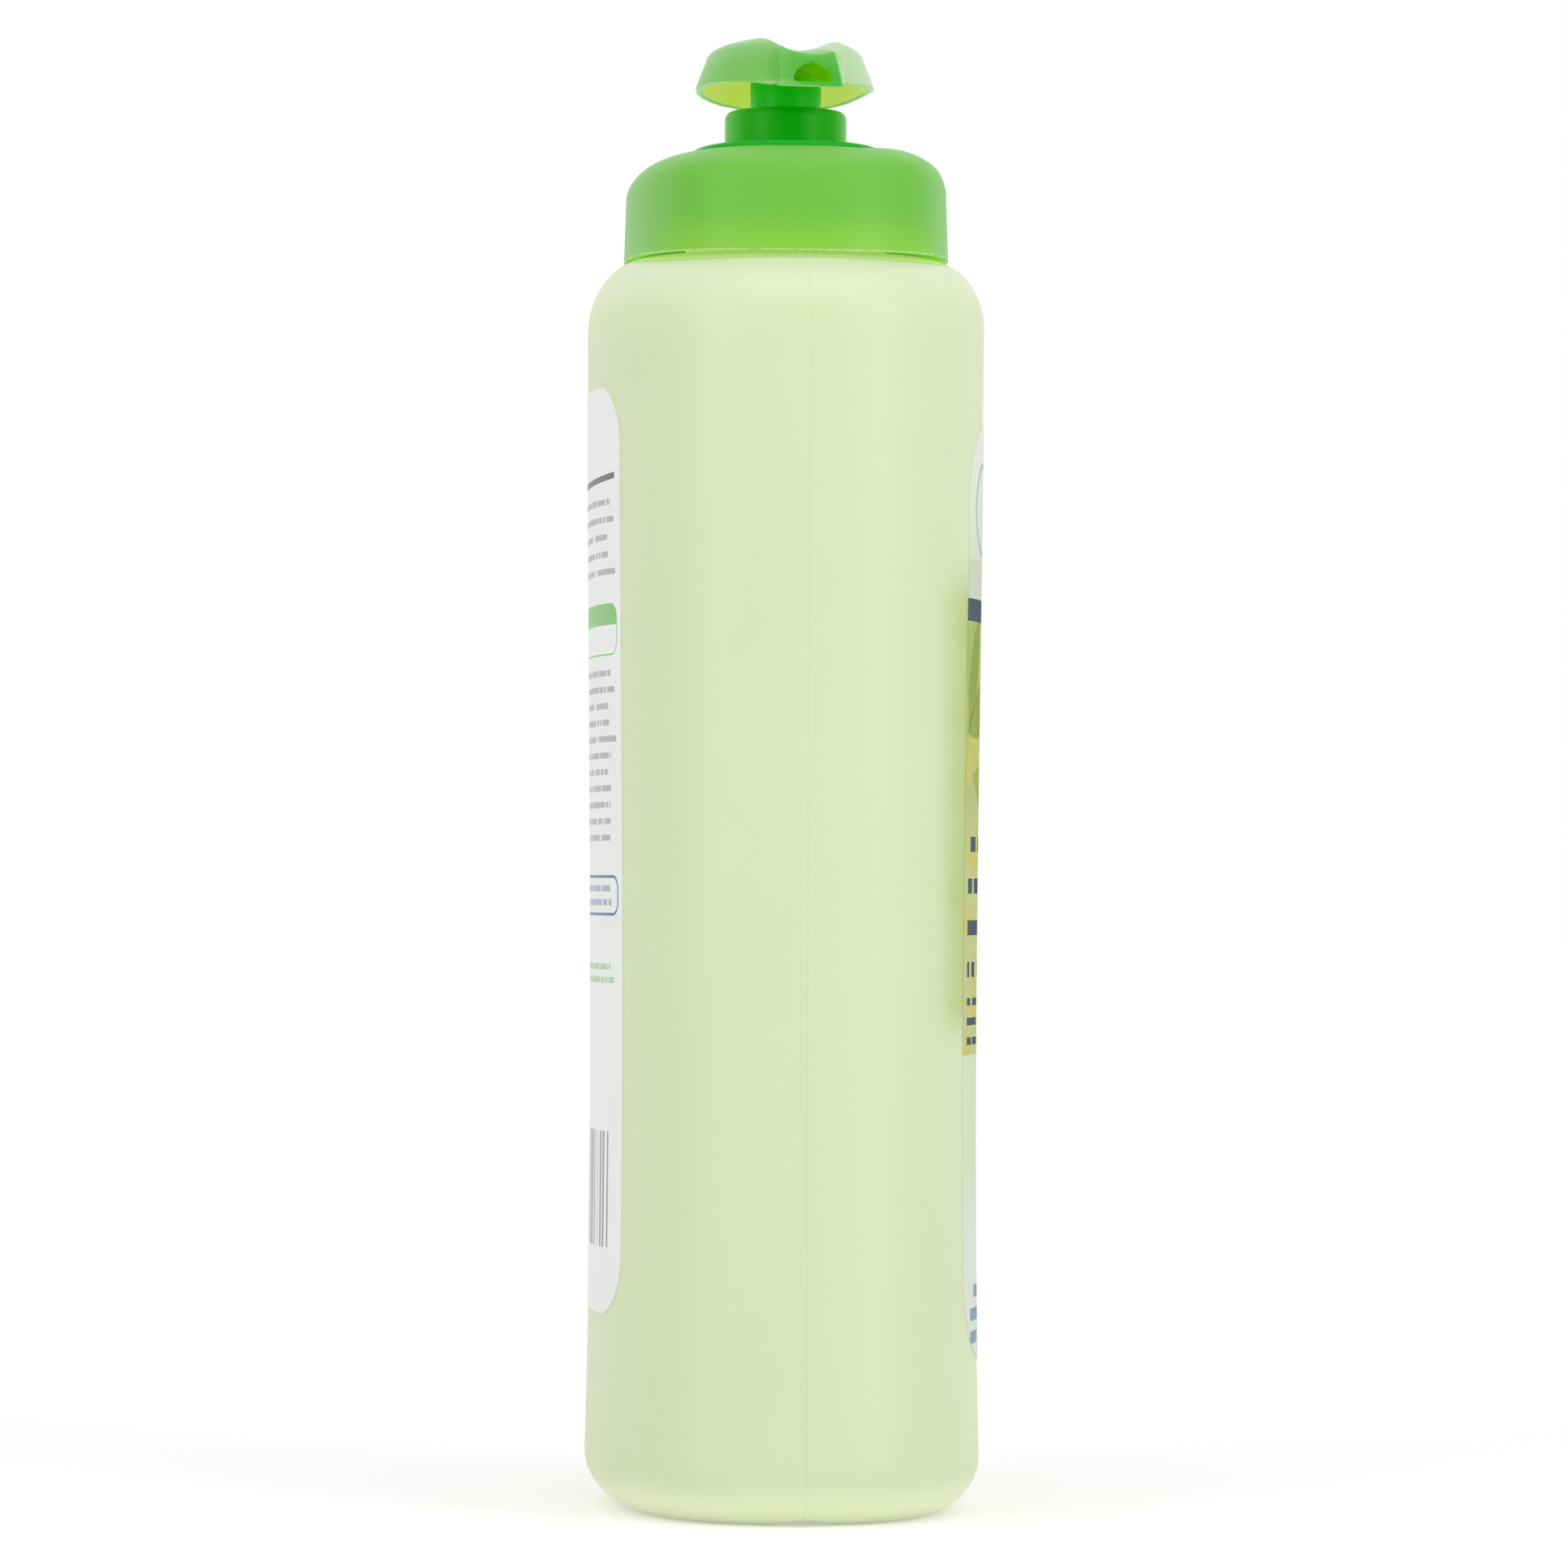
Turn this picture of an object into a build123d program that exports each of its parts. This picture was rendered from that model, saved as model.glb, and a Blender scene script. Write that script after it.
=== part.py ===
# Oval pump bottle for body lotion: a blow-moulded bottle, an oval closure and a lock-down lotion pump.
# The origin is the centre of the base, +Z is up, the broad front faces -Y, and sizes are in millimetres.
# The pump is locked down, as it is shipped, so its spring is pressed short.
import os
from math import cos, copysign, pi, sin, sqrt

from build123d import *

os.makedirs("parts", exist_ok=True)

# Bottle, outside
BODY_HALF_LENGTH = 43.0
BODY_HALF_DEPTH = 31.45
WAIST_PINCH = 0.9
WAIST_PINCH_ABOVE = 0.54
WAIST_HEIGHT = 66.0
FOOT_PINCH = 0.15
BODY_POWER = 2.35
FOOT_CORNER_OUT = 9.1
FOOT_CORNER_UP = 8.8
SHOULDER_START = 188.6
SHOULDER_RISE = 11.2
CROWN_HALF_LENGTH = 21.0
CROWN_HALF_DEPTH = 22.6
CROWN_POWER = 2.0
BOTTLE_WALL = 1.0
FLOOR_WALL = 2.0

# Bottle, under the foot
PUSH_UP = 3.6
PUSH_UP_MARGIN = 5.0
END_CHANNEL_WIDTH = 10.0
END_CHANNEL_HEIGHT = 1.0

# Bottle neck
NECK_RADIUS = 16.0
NECK_BORE_RADIUS = 13.6
NECK_LENGTH = 11.9
NECK_SINK = 1.8
NECK_BEAD = 0.9
NECK_BEAD_DROP = 5.7
NECK_BEAD_HEIGHT = 2.2
LUG_WIDTH = 3.0
LUG_REACH = 2.4
LUG_GAP = 0.8
LUG_HEIGHT = 3.4

# Labels, as thick as a varnished film on its adhesive
LABEL_THICKNESS = 0.2
LABEL_STAND_OFF = 0.1
FRONT_LABEL_HALF_WIDTH = 25.5
FRONT_LABEL_BOTTOM = 23.5
FRONT_LABEL_DROP = 15.1
FRONT_LABEL_CORNER = 12.0
BACK_LABEL_HALF_WIDTH = 22.8
BACK_LABEL_BOTTOM = 30.8
BACK_LABEL_DROP = 9.1
BACK_LABEL_CORNER = 9.0

# Lotion in the bottle
LOTION_DROP = 2.6
LOTION_CLEARANCE = 0.3

# Oval closure
CLOSURE_HALF_LENGTH = 33.5
CLOSURE_HALF_DEPTH = 25.7
CLOSURE_DRAFT = 0.35
CLOSURE_POWER = 2.5
CLOSURE_RIM_OVERLAP = 0.2
CLOSURE_RIM_FALL = 0.8
CLOSURE_WALL = 1.3
CLOSURE_ROUND_OUT = 9.5
CLOSURE_ROUND_UP = 6.0
CLOSURE_TOP_WALL = 1.9
SNAP_SKIRT_WALL = 1.1
SNAP_CLEARANCE = 0.25
SNAP_RING_HEIGHT = 1.4
SNAP_SKIRT_GAP = 2.8
RIB_COUNT = 10
RIB_THICKNESS = 0.9
RIB_DROP = 8.0

# Clamped stack on the neck
GASKET_THICKNESS = 1.0
GASKET_RADIUS = 15.6
FLANGE_THICKNESS = 1.5

# Collar: oval deck, chimney and the plug that snaps into the pump housing
DECK_HALF_LENGTH = 20.2
DECK_HALF_DEPTH = 15.3
DECK_POWER = 2.3
DECK_HEIGHT = 1.4
DECK_EDGE = 0.7
CHIMNEY_RADIUS = 9.8
CHIMNEY_HEIGHT = 6.5
CHIMNEY_EDGE = 1.3
PLUG_RADIUS = 8.8
PLUG_LENGTH = 11.8
PLUG_BEAD = 0.3
PLUG_BEAD_UP = 2.4
PLUG_CLEARANCE = 0.2
TUBE_CLEARANCE = 0.2

# Pump housing
BARREL_WALL = 1.5
CHAMBER_RADIUS = 7.0
CHAMBER_WALL = 1.3
CHAMBER_LENGTH = 36.1
FUNNEL_HEIGHT = 2.6
BALL_BORE_RADIUS = 3.0
BALL_ROOM = 5.6
SEAT_BORE_RADIUS = 1.5
SOCKET_WALL = 1.1
SOCKET_LENGTH = 10.0
VENT_RADIUS = 0.8
VENT_DROP = 4.1
BARREL_STEP = 1.0
SEAT_LAND = 1.0

# Dip tube
DIP_TUBE_RADIUS = 3.0
DIP_TUBE_WALL = 0.8
DIP_TUBE_FIT = 0.03
DIP_TUBE_END_Z = 8.5
DIP_TUBE_CUT_ANGLE = 35.0

# Valve balls and the inlet ball's cage
INLET_BALL_RADIUS = 2.4
OUTLET_BALL_RADIUS = 1.8
BALL_LIFT = 1.5
BALL_SEAT_GAP = 0.1
CAGE_THICKNESS = 1.2
CAGE_CLEARANCE = 0.15
CAGE_HOLES = 5
CAGE_HOLE_RADIUS = 1.1
CAGE_PIN_RADIUS = 1.2

# Spring
SPRING_RADIUS = 4.9
SPRING_WIRE_RADIUS = 0.45
SPRING_TURNS = 6.0
SPRING_LENGTH = 11.0
SPRING_GAP = 0.1

# Stem and piston
STEM_RADIUS = 3.5
STEM_BORE_RADIUS = 1.9
STEM_FOOT_RADIUS = 5.9
STEM_FOOT_HEIGHT = 1.4
STEM_HEAD_RADIUS = 4.2
STEM_HEAD_UP = 2.0
STEM_HEAD_BEVEL = 1.0
STEM_HEAD_DROP = 2.1
OUTLET_SEAT_BORE = 1.1
OUTLET_ROOM_RADIUS = 2.4
PISTON_LENGTH = 7.6
PISTON_WAIST_RADIUS = 5.4
PISTON_CLEARANCE = 0.05
PISTON_LIP_HEIGHT = 1.6
PISTON_LIP_DEPTH = 1.2
PISTON_LIP_WALL = 0.7
STEM_FIT = 0.05

# Pump head, with its spout along +X before it is turned into place
SPOUT_TURN = 186.6
HEAD_RIM_HALF_LENGTH = 20.4
HEAD_RIM_HALF_WIDTH = 14.7
HEAD_KINK_HALF_LENGTH = 17.6
HEAD_KINK_HALF_WIDTH = 12.5
HEAD_POWER = 2.1
HEAD_RIM_GAP = 2.4
HEAD_SKIRT_HEIGHT = 6.5
HEAD_DOME_HEIGHT = 3.0
HEAD_TOP_SHARE = 0.36
HEAD_WALL = 1.1
HEAD_RIM_ARC_RADIUS = 70.0
TROUGH_RADIUS = 9.5
TROUGH_DEPTH = 2.1
TROUGH_ARC_RADIUS = 76.0
SPOUT_REACH = 20.6
SPOUT_HALF_WIDTH = 5.3
SPOUT_DROP = 0.7
SPOUT_EDGE = 0.7
SPOUT_HOLE_WIDTH = 6.2
SPOUT_HOLE_HEIGHT = 3.1
SPOUT_FLOOR_WALL = 0.8
TUBE_RADIUS = 5.7
TUBE_DEPTH = 10.1
HEAD_PASSAGE_RADIUS = 1.0
HEAD_PASSAGE_SLOT = 5.0

# How finely the oval outlines and the rounded stretches are divided, and how far a cut runs past a face
OVAL_STEPS = 20
CORNER_STEPS = 5
CUT_MARGIN = 1.0

# Heights of the bottle, each from the one below it
shoulder_top = SHOULDER_START + SHOULDER_RISE
lotion_level = SHOULDER_START - LOTION_DROP
front_label_top = SHOULDER_START - FRONT_LABEL_DROP
back_label_top = SHOULDER_START - BACK_LABEL_DROP
neck_root = shoulder_top - NECK_SINK
neck_bore_bottom = neck_root - 2 * BOTTLE_WALL
neck_top = shoulder_top + NECK_LENGTH
neck_bead_z = neck_top - NECK_BEAD_DROP
lug_bottom = shoulder_top + LUG_GAP

# Heights of the closure, the collar and the pump housing, stacked on the neck
closure_rim_z = shoulder_top - CLOSURE_RIM_OVERLAP
snap_skirt_bottom = shoulder_top + SNAP_SKIRT_GAP
flange_bottom = neck_top + GASKET_THICKNESS
flange_top = flange_bottom + FLANGE_THICKNESS
closure_top = flange_top + CLOSURE_TOP_WALL
deck_top = closure_top + DECK_HEIGHT
chimney_top = deck_top + CHIMNEY_HEIGHT
plug_bottom = closure_top - PLUG_LENGTH
barrel_radius = PLUG_RADIUS + PLUG_CLEARANCE
barrel_bottom = plug_bottom - PLUG_CLEARANCE
vent_z = barrel_bottom - VENT_DROP
chamber_bottom = barrel_bottom - CHAMBER_LENGTH
seat_z = chamber_bottom - FUNNEL_HEIGHT - BALL_ROOM
socket_top = seat_z - SEAT_LAND
socket_bottom = socket_top - SOCKET_LENGTH
inlet_ball_z = seat_z + INLET_BALL_RADIUS * sqrt(2) - SEAT_BORE_RADIUS + BALL_SEAT_GAP

# Heights of the head, which rides over the chimney, and of what hangs from it
head_rim_z = chimney_top + HEAD_RIM_GAP
head_kink_z = head_rim_z + HEAD_SKIRT_HEIGHT
head_top_z = head_kink_z + HEAD_DOME_HEIGHT
trough_floor_z = head_top_z - TROUGH_DEPTH
spout_bottom = head_rim_z - SPOUT_DROP
tube_bottom = closure_top - TUBE_DEPTH
stem_top = spout_bottom - STEM_HEAD_DROP
stem_head_bottom = tube_bottom + STEM_HEAD_UP
outlet_stop = sqrt(OUTLET_BALL_RADIUS ** 2 - HEAD_PASSAGE_RADIUS ** 2)
outlet_ball_z = stem_top - outlet_stop - BALL_LIFT
outlet_seat_z = outlet_ball_z - OUTLET_BALL_RADIUS * sqrt(2) + OUTLET_SEAT_BORE - BALL_SEAT_GAP
cage_top = chamber_bottom + CAGE_THICKNESS
spring_bottom = cage_top + SPRING_GAP
stem_bottom = spring_bottom + SPRING_LENGTH + SPRING_GAP
piston_bottom = stem_bottom + STEM_FOOT_HEIGHT + STEM_FIT


def oval_point(half_length, half_depth, power, turn):
    # A point of the outline |x/a|^p + |y/b|^p = 1
    across = copysign(abs(cos(turn)) ** (2 / power), cos(turn))
    along = copysign(abs(sin(turn)) ** (2 / power), sin(turn))
    return half_length * across, half_depth * along


def oval_face(half_length, half_depth, power, z):
    # One level cut of an oval body, as a face at height z
    turns = [2 * pi * step / OVAL_STEPS for step in range(OVAL_STEPS)]
    points = [oval_point(half_length, half_depth, power, turn) for turn in turns]
    with BuildSketch(Plane.XY.offset(z)) as level:
        with BuildLine():
            Spline(*points, periodic=True)
        make_face()
    return level.sketch.face()


def oval_body(levels):
    # A smooth solid through level cuts, each given as half length, half depth, power and height
    cuts = [oval_face(half_length, half_depth, power, z) for half_length, half_depth, power, z in levels]
    with BuildPart(mode=Mode.PRIVATE) as body:
        loft(sections=cuts)
    return body.part


def corner_share(step):
    # Share of a quarter turn's cosine and sine, for the rounded stretches
    turn = 0.5 * pi * step / CORNER_STEPS
    return cos(turn), sin(turn)


def bottle_foot_levels(inset, floor):
    # Level cuts of the rounded corner round the foot, drawn in by inset and standing on floor
    levels = []
    for step in range(CORNER_STEPS + 1):
        inward, down = corner_share(CORNER_STEPS - step)
        drawn = FOOT_PINCH + inset + (FOOT_CORNER_OUT - inset) * (1 - inward)
        levels.append((
            BODY_HALF_LENGTH - drawn,
            BODY_HALF_DEPTH - drawn,
            BODY_POWER,
            floor + (FOOT_CORNER_UP - floor) * (1 - down),
        ))
    return levels


def bottle_body_levels(inset):
    # Level cuts of the tall wall, which draws in a little at the waist
    middle = 0.5 * (WAIST_HEIGHT + SHOULDER_START)
    levels = []
    for pinch, z in (
        (FOOT_PINCH, FOOT_CORNER_UP),
        (WAIST_PINCH, WAIST_HEIGHT),
        (WAIST_PINCH_ABOVE, middle),
        (0.0, SHOULDER_START),
    ):
        levels.append((BODY_HALF_LENGTH - pinch - inset, BODY_HALF_DEPTH - pinch - inset, BODY_POWER, z))
    return levels


def bottle_shoulder_levels(inset):
    # Level cuts of the shoulder, which rounds from the oval body to a nearly round crown
    levels = []
    for step in range(CORNER_STEPS + 1):
        outward, up = corner_share(step)
        levels.append((
            CROWN_HALF_LENGTH + (BODY_HALF_LENGTH - inset - CROWN_HALF_LENGTH) * outward,
            CROWN_HALF_DEPTH + (BODY_HALF_DEPTH - inset - CROWN_HALF_DEPTH) * outward,
            CROWN_POWER + (BODY_POWER - CROWN_POWER) * outward,
            SHOULDER_START + (SHOULDER_RISE - inset) * up,
        ))
    return levels


def bottle_form(inset, floor):
    # Foot, body and shoulder in one
    foot = oval_body(bottle_foot_levels(inset, floor))
    body = oval_body(bottle_body_levels(inset))
    shoulder = oval_body(bottle_shoulder_levels(inset))
    return foot + body + shoulder


def push_up_levels(margin, rise):
    # Level cuts of the hollow under the foot
    half_length = BODY_HALF_LENGTH - FOOT_PINCH - FOOT_CORNER_OUT - margin
    half_depth = BODY_HALF_DEPTH - FOOT_PINCH - FOOT_CORNER_OUT - margin
    levels = []
    for step in range(CORNER_STEPS):
        outward, up = corner_share(step)
        levels.append((half_length * outward, half_depth * outward, BODY_POWER, rise * up))
    return levels


# Bottle: one blown wall with its neck, snap bead, pushed-up foot and the channel at each end of the foot
channel_radius = (END_CHANNEL_WIDTH ** 2 / 4 + END_CHANNEL_HEIGHT ** 2) / (2 * END_CHANNEL_HEIGHT)
bottle_skin = bottle_form(0, 0)
bottle_room = bottle_form(BOTTLE_WALL, FLOOR_WALL)
foot_hollow = oval_body(push_up_levels(PUSH_UP_MARGIN, PUSH_UP))
foot_bulge = oval_body(push_up_levels(PUSH_UP_MARGIN - FLOOR_WALL, PUSH_UP + FLOOR_WALL))
with BuildPart() as bottle:
    add(bottle_skin)
    with BuildSketch(Plane.XZ):
        with BuildLine():
            Polyline(
                (0, neck_root),
                (NECK_RADIUS, neck_root),
                (NECK_RADIUS, neck_bead_z - NECK_BEAD_HEIGHT / 2),
                (NECK_RADIUS + NECK_BEAD, neck_bead_z - NECK_BEAD_HEIGHT / 4),
                (NECK_RADIUS + NECK_BEAD, neck_bead_z + NECK_BEAD_HEIGHT / 4),
                (NECK_RADIUS, neck_bead_z + NECK_BEAD_HEIGHT),
                (NECK_RADIUS, neck_top),
                (0, neck_top),
                close=True,
            )
        make_face()
    revolve(axis=Axis.Z)
    with Locations((0, 0, lug_bottom)):
        Box(
            LUG_WIDTH,
            2 * (NECK_RADIUS + LUG_REACH),
            LUG_HEIGHT,
            align=(Align.CENTER, Align.CENTER, Align.MIN),
        )
    add(bottle_room - foot_bulge, mode=Mode.SUBTRACT)
    with Locations((0, 0, neck_bore_bottom)):
        Cylinder(
            NECK_BORE_RADIUS,
            neck_top,
            align=(Align.CENTER, Align.CENTER, Align.MIN),
            mode=Mode.SUBTRACT,
        )
    add(foot_hollow, mode=Mode.SUBTRACT)
    with Locations((0, 0, END_CHANNEL_HEIGHT - channel_radius)):
        Cylinder(channel_radius, 3 * BODY_HALF_LENGTH, rotation=(0, 90, 0), mode=Mode.SUBTRACT)
bottle.part.label = "bottle"
export_step(bottle.part, "parts/bottle.step")


# Labels: thin films that follow the body, cut to rounded panels
def label_film(half_width, bottom, top, corner, side):
    # One label: side is -1 on the front and 1 on the back
    with BuildPart() as film:
        with BuildSketch(Plane.XZ):
            with Locations((0, 0.5 * (bottom + top))):
                RectangleRounded(2 * half_width, top - bottom, corner)
        extrude(amount=-side * 2 * BODY_HALF_DEPTH)
        add(label_outside, mode=Mode.INTERSECT)
        add(label_inside, mode=Mode.SUBTRACT)
    return film.part


label_outside = oval_body(bottle_body_levels(-LABEL_STAND_OFF - LABEL_THICKNESS))
label_inside = oval_body(bottle_body_levels(-LABEL_STAND_OFF))
front_label = label_film(FRONT_LABEL_HALF_WIDTH, FRONT_LABEL_BOTTOM, front_label_top, FRONT_LABEL_CORNER, -1)
front_label.label = "front_label"
export_step(front_label, "parts/front_label.step")

back_label = label_film(BACK_LABEL_HALF_WIDTH, BACK_LABEL_BOTTOM, back_label_top, BACK_LABEL_CORNER, 1)
back_label.label = "back_label"
export_step(back_label, "parts/back_label.step")


# Closure: an oval dome whose rim follows the shoulder, with a round snap skirt and ribs inside
def closure_form(inset, bottom, top):
    # The closure's drafted wall and rounded dome in one, drawn in by inset all round
    round_start = top - CLOSURE_ROUND_UP
    wall = []
    for drawn, z in ((inset, bottom), (inset + CLOSURE_DRAFT, round_start)):
        wall.append((CLOSURE_HALF_LENGTH - drawn, CLOSURE_HALF_DEPTH - drawn, CLOSURE_POWER, z))
    dome = []
    for step in range(CORNER_STEPS + 1):
        outward, up = corner_share(step)
        drawn = CLOSURE_DRAFT + inset + (CLOSURE_ROUND_OUT - inset) * (1 - outward)
        dome.append((
            CLOSURE_HALF_LENGTH - drawn,
            CLOSURE_HALF_DEPTH - drawn,
            CLOSURE_POWER,
            round_start + CLOSURE_ROUND_UP * up,
        ))
    return oval_body(wall) + oval_body(dome)


skirt_bore = NECK_RADIUS + NECK_BEAD + SNAP_CLEARANCE
skirt_radius = skirt_bore + SNAP_SKIRT_WALL
snap_ring_top = neck_bead_z - NECK_BEAD_HEIGHT / 2 - SNAP_CLEARANCE
rim_end_z = closure_rim_z - CLOSURE_RIM_FALL
rim_arc_radius = (CLOSURE_HALF_LENGTH ** 2 + CLOSURE_RIM_FALL ** 2) / (2 * CLOSURE_RIM_FALL)
closure_skin = closure_form(0, rim_end_z, closure_top)
closure_room = closure_form(CLOSURE_WALL, rim_end_z, flange_top)
with BuildPart() as closure_pockets:
    add(closure_room)
    with PolarLocations(skirt_radius - SNAP_SKIRT_WALL / 2, RIB_COUNT, start_angle=180 / RIB_COUNT):
        with Locations((0, 0, closure_top)):
            Box(
                CLOSURE_HALF_LENGTH,
                RIB_THICKNESS,
                RIB_DROP,
                align=(Align.MIN, Align.CENTER, Align.MAX),
                mode=Mode.SUBTRACT,
            )
with BuildPart() as closure:
    add(closure_skin)
    add(closure_pockets.part, mode=Mode.SUBTRACT)
    with BuildSketch(Plane.XZ):
        with BuildLine():
            Polyline(
                (skirt_bore, snap_skirt_bottom),
                (skirt_radius, snap_skirt_bottom),
                (skirt_radius, flange_top + CLOSURE_TOP_WALL / 2),
                (skirt_bore, flange_top + CLOSURE_TOP_WALL / 2),
                (skirt_bore, snap_ring_top),
                (NECK_RADIUS + SNAP_CLEARANCE, snap_ring_top),
                (NECK_RADIUS + SNAP_CLEARANCE, snap_ring_top - SNAP_RING_HEIGHT / 2),
                close=True,
            )
        make_face()
    revolve(axis=Axis.Z)
    with Locations((0, 0, closure_top)):
        Cylinder(barrel_radius, 2 * CLOSURE_TOP_WALL, mode=Mode.SUBTRACT)
    with Locations((0, 0, snap_skirt_bottom)):
        Box(
            LUG_WIDTH + 2 * SNAP_CLEARANCE,
            2 * (skirt_radius + CUT_MARGIN),
            2 * (lug_bottom + LUG_HEIGHT - snap_skirt_bottom + SNAP_CLEARANCE),
            mode=Mode.SUBTRACT,
        )
    with Locations((0, 0, closure_rim_z - rim_arc_radius)):
        Cylinder(rim_arc_radius, 3 * CLOSURE_HALF_DEPTH, rotation=(90, 0, 0), mode=Mode.SUBTRACT)
closure.part.label = "closure"
export_step(closure.part, "parts/closure.step")


def turned(profile):
    # A solid of revolution from its half section, given as radius and height pairs
    with BuildPart(mode=Mode.PRIVATE) as piece:
        with BuildSketch(Plane.XZ):
            with BuildLine():
                Polyline(*profile, close=True)
            make_face()
        revolve(axis=Axis.Z)
    return piece.part


# Gasket between the neck and the pump's flange
with BuildPart() as neck_gasket:
    with BuildSketch(Plane.XY.offset(neck_top)):
        Circle(GASKET_RADIUS)
        Circle(barrel_radius + BARREL_WALL + PLUG_CLEARANCE, mode=Mode.SUBTRACT)
    extrude(amount=GASKET_THICKNESS)
neck_gasket.part.label = "neck_gasket"
export_step(neck_gasket.part, "parts/neck_gasket.step")

# Pump housing: flange, barrel, chamber, funnel, ball seat and the socket of the dip tube
barrel_outside = barrel_radius + BARREL_WALL
chamber_outside = CHAMBER_RADIUS + CHAMBER_WALL
ball_room_outside = BALL_BORE_RADIUS + CHAMBER_WALL
socket_radius = DIP_TUBE_RADIUS + DIP_TUBE_FIT
socket_outside = socket_radius + SOCKET_WALL
ball_room_top = chamber_bottom - FUNNEL_HEIGHT
ball_cone_top = seat_z + BALL_BORE_RADIUS - SEAT_BORE_RADIUS
bead_groove = PLUG_BEAD + PLUG_CLEARANCE
bead_z = plug_bottom + PLUG_BEAD_UP
with BuildPart() as pump_housing:
    add(turned([
        (GASKET_RADIUS, flange_bottom),
        (GASKET_RADIUS, flange_top),
        (barrel_radius, flange_top),
        (barrel_radius, bead_z + bead_groove),
        (barrel_radius + PLUG_BEAD, bead_z),
        (barrel_radius, bead_z - bead_groove),
        (barrel_radius, barrel_bottom),
        (CHAMBER_RADIUS, barrel_bottom - BARREL_STEP),
        (CHAMBER_RADIUS, chamber_bottom),
        (BALL_BORE_RADIUS + CAGE_CLEARANCE, chamber_bottom),
        (BALL_BORE_RADIUS, ball_room_top),
        (BALL_BORE_RADIUS, ball_cone_top),
        (SEAT_BORE_RADIUS, seat_z),
        (SEAT_BORE_RADIUS, socket_top),
        (socket_radius, socket_top),
        (socket_radius, socket_bottom),
        (socket_outside, socket_bottom),
        (socket_outside, socket_top),
        (ball_room_outside, ball_cone_top),
        (ball_room_outside, ball_room_top),
        (chamber_outside, chamber_bottom),
        (chamber_outside, barrel_bottom - BARREL_STEP),
        (barrel_outside, barrel_bottom),
        (barrel_outside, flange_bottom),
    ]))
    with Locations((0, barrel_outside, vent_z)):
        Cylinder(VENT_RADIUS, 2 * chamber_outside, rotation=(90, 0, 0), mode=Mode.SUBTRACT)
pump_housing.part.label = "pump_housing"
export_step(pump_housing.part, "parts/pump_housing.step")

# Ball cage: a drilled disc at the foot of the chamber, with a pin that limits the ball's lift
with BuildPart() as ball_cage:
    with BuildSketch(Plane.XY.offset(chamber_bottom)):
        Circle(CHAMBER_RADIUS - CAGE_CLEARANCE)
        with PolarLocations(BALL_BORE_RADIUS - CAGE_HOLE_RADIUS / 2 + CAGE_PIN_RADIUS / 2, CAGE_HOLES):
            Circle(CAGE_HOLE_RADIUS, mode=Mode.SUBTRACT)
    extrude(amount=CAGE_THICKNESS)
    pin_bottom = inlet_ball_z + INLET_BALL_RADIUS + BALL_LIFT + BALL_SEAT_GAP
    with BuildSketch(Plane.XY.offset(pin_bottom)):
        Circle(CAGE_PIN_RADIUS)
    extrude(until=Until.NEXT)
ball_cage.part.label = "ball_cage"
export_step(ball_cage.part, "parts/ball_cage.step")

# Inlet valve ball on its cone
with BuildPart() as inlet_ball:
    with Locations((0, 0, inlet_ball_z)):
        Sphere(INLET_BALL_RADIUS)
inlet_ball.part.label = "inlet_ball"
export_step(inlet_ball.part, "parts/inlet_ball.step")

# Dip tube, cut slanting at its foot so that it can't seal against the floor
with BuildPart() as dip_tube:
    with BuildSketch(Plane.XY.offset(DIP_TUBE_END_Z)):
        Circle(DIP_TUBE_RADIUS)
        Circle(DIP_TUBE_RADIUS - DIP_TUBE_WALL, mode=Mode.SUBTRACT)
    extrude(amount=socket_top - DIP_TUBE_END_Z)
    slant = Plane(origin=(0, 0, DIP_TUBE_END_Z + DIP_TUBE_RADIUS)).rotated((0, DIP_TUBE_CUT_ANGLE, 0))
    split(bisect_by=slant, keep=Keep.TOP)
dip_tube.part.label = "dip_tube"
export_step(dip_tube.part, "parts/dip_tube.step")

# Spring, pressed short under the locked stem
with BuildPart() as spring:
    wire_pitch = (SPRING_LENGTH - 2 * SPRING_WIRE_RADIUS) / SPRING_TURNS
    with BuildLine():
        coil = Helix(
            pitch=wire_pitch,
            height=wire_pitch * SPRING_TURNS,
            radius=SPRING_RADIUS,
            center=(0, 0, spring_bottom + SPRING_WIRE_RADIUS),
        )
    with BuildSketch(Plane(origin=coil @ 0, z_dir=coil % 0)):
        Circle(SPRING_WIRE_RADIUS)
    sweep(is_frenet=True)
spring.part.label = "spring"
export_step(spring.part, "parts/spring.step")

# Stem: a hollow rod with a foot under the piston and a wider head that holds the outlet ball
stem_profile = [
    (STEM_BORE_RADIUS, stem_bottom),
    (STEM_FOOT_RADIUS, stem_bottom),
    (STEM_FOOT_RADIUS, stem_bottom + STEM_FOOT_HEIGHT),
    (STEM_RADIUS, stem_bottom + STEM_FOOT_HEIGHT),
    (STEM_RADIUS, stem_head_bottom - STEM_HEAD_BEVEL),
    (STEM_HEAD_RADIUS, stem_head_bottom),
    (STEM_HEAD_RADIUS, stem_top),
    (OUTLET_ROOM_RADIUS, stem_top),
    (OUTLET_ROOM_RADIUS, outlet_seat_z + OUTLET_ROOM_RADIUS - OUTLET_SEAT_BORE),
    (OUTLET_SEAT_BORE, outlet_seat_z),
    (OUTLET_SEAT_BORE, outlet_seat_z - SEAT_LAND),
    (STEM_BORE_RADIUS, outlet_seat_z - 2 * SEAT_LAND),
]
with BuildPart() as stem:
    add(turned(stem_profile))
stem.part.label = "stem"
export_step(stem.part, "parts/stem.step")

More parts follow.
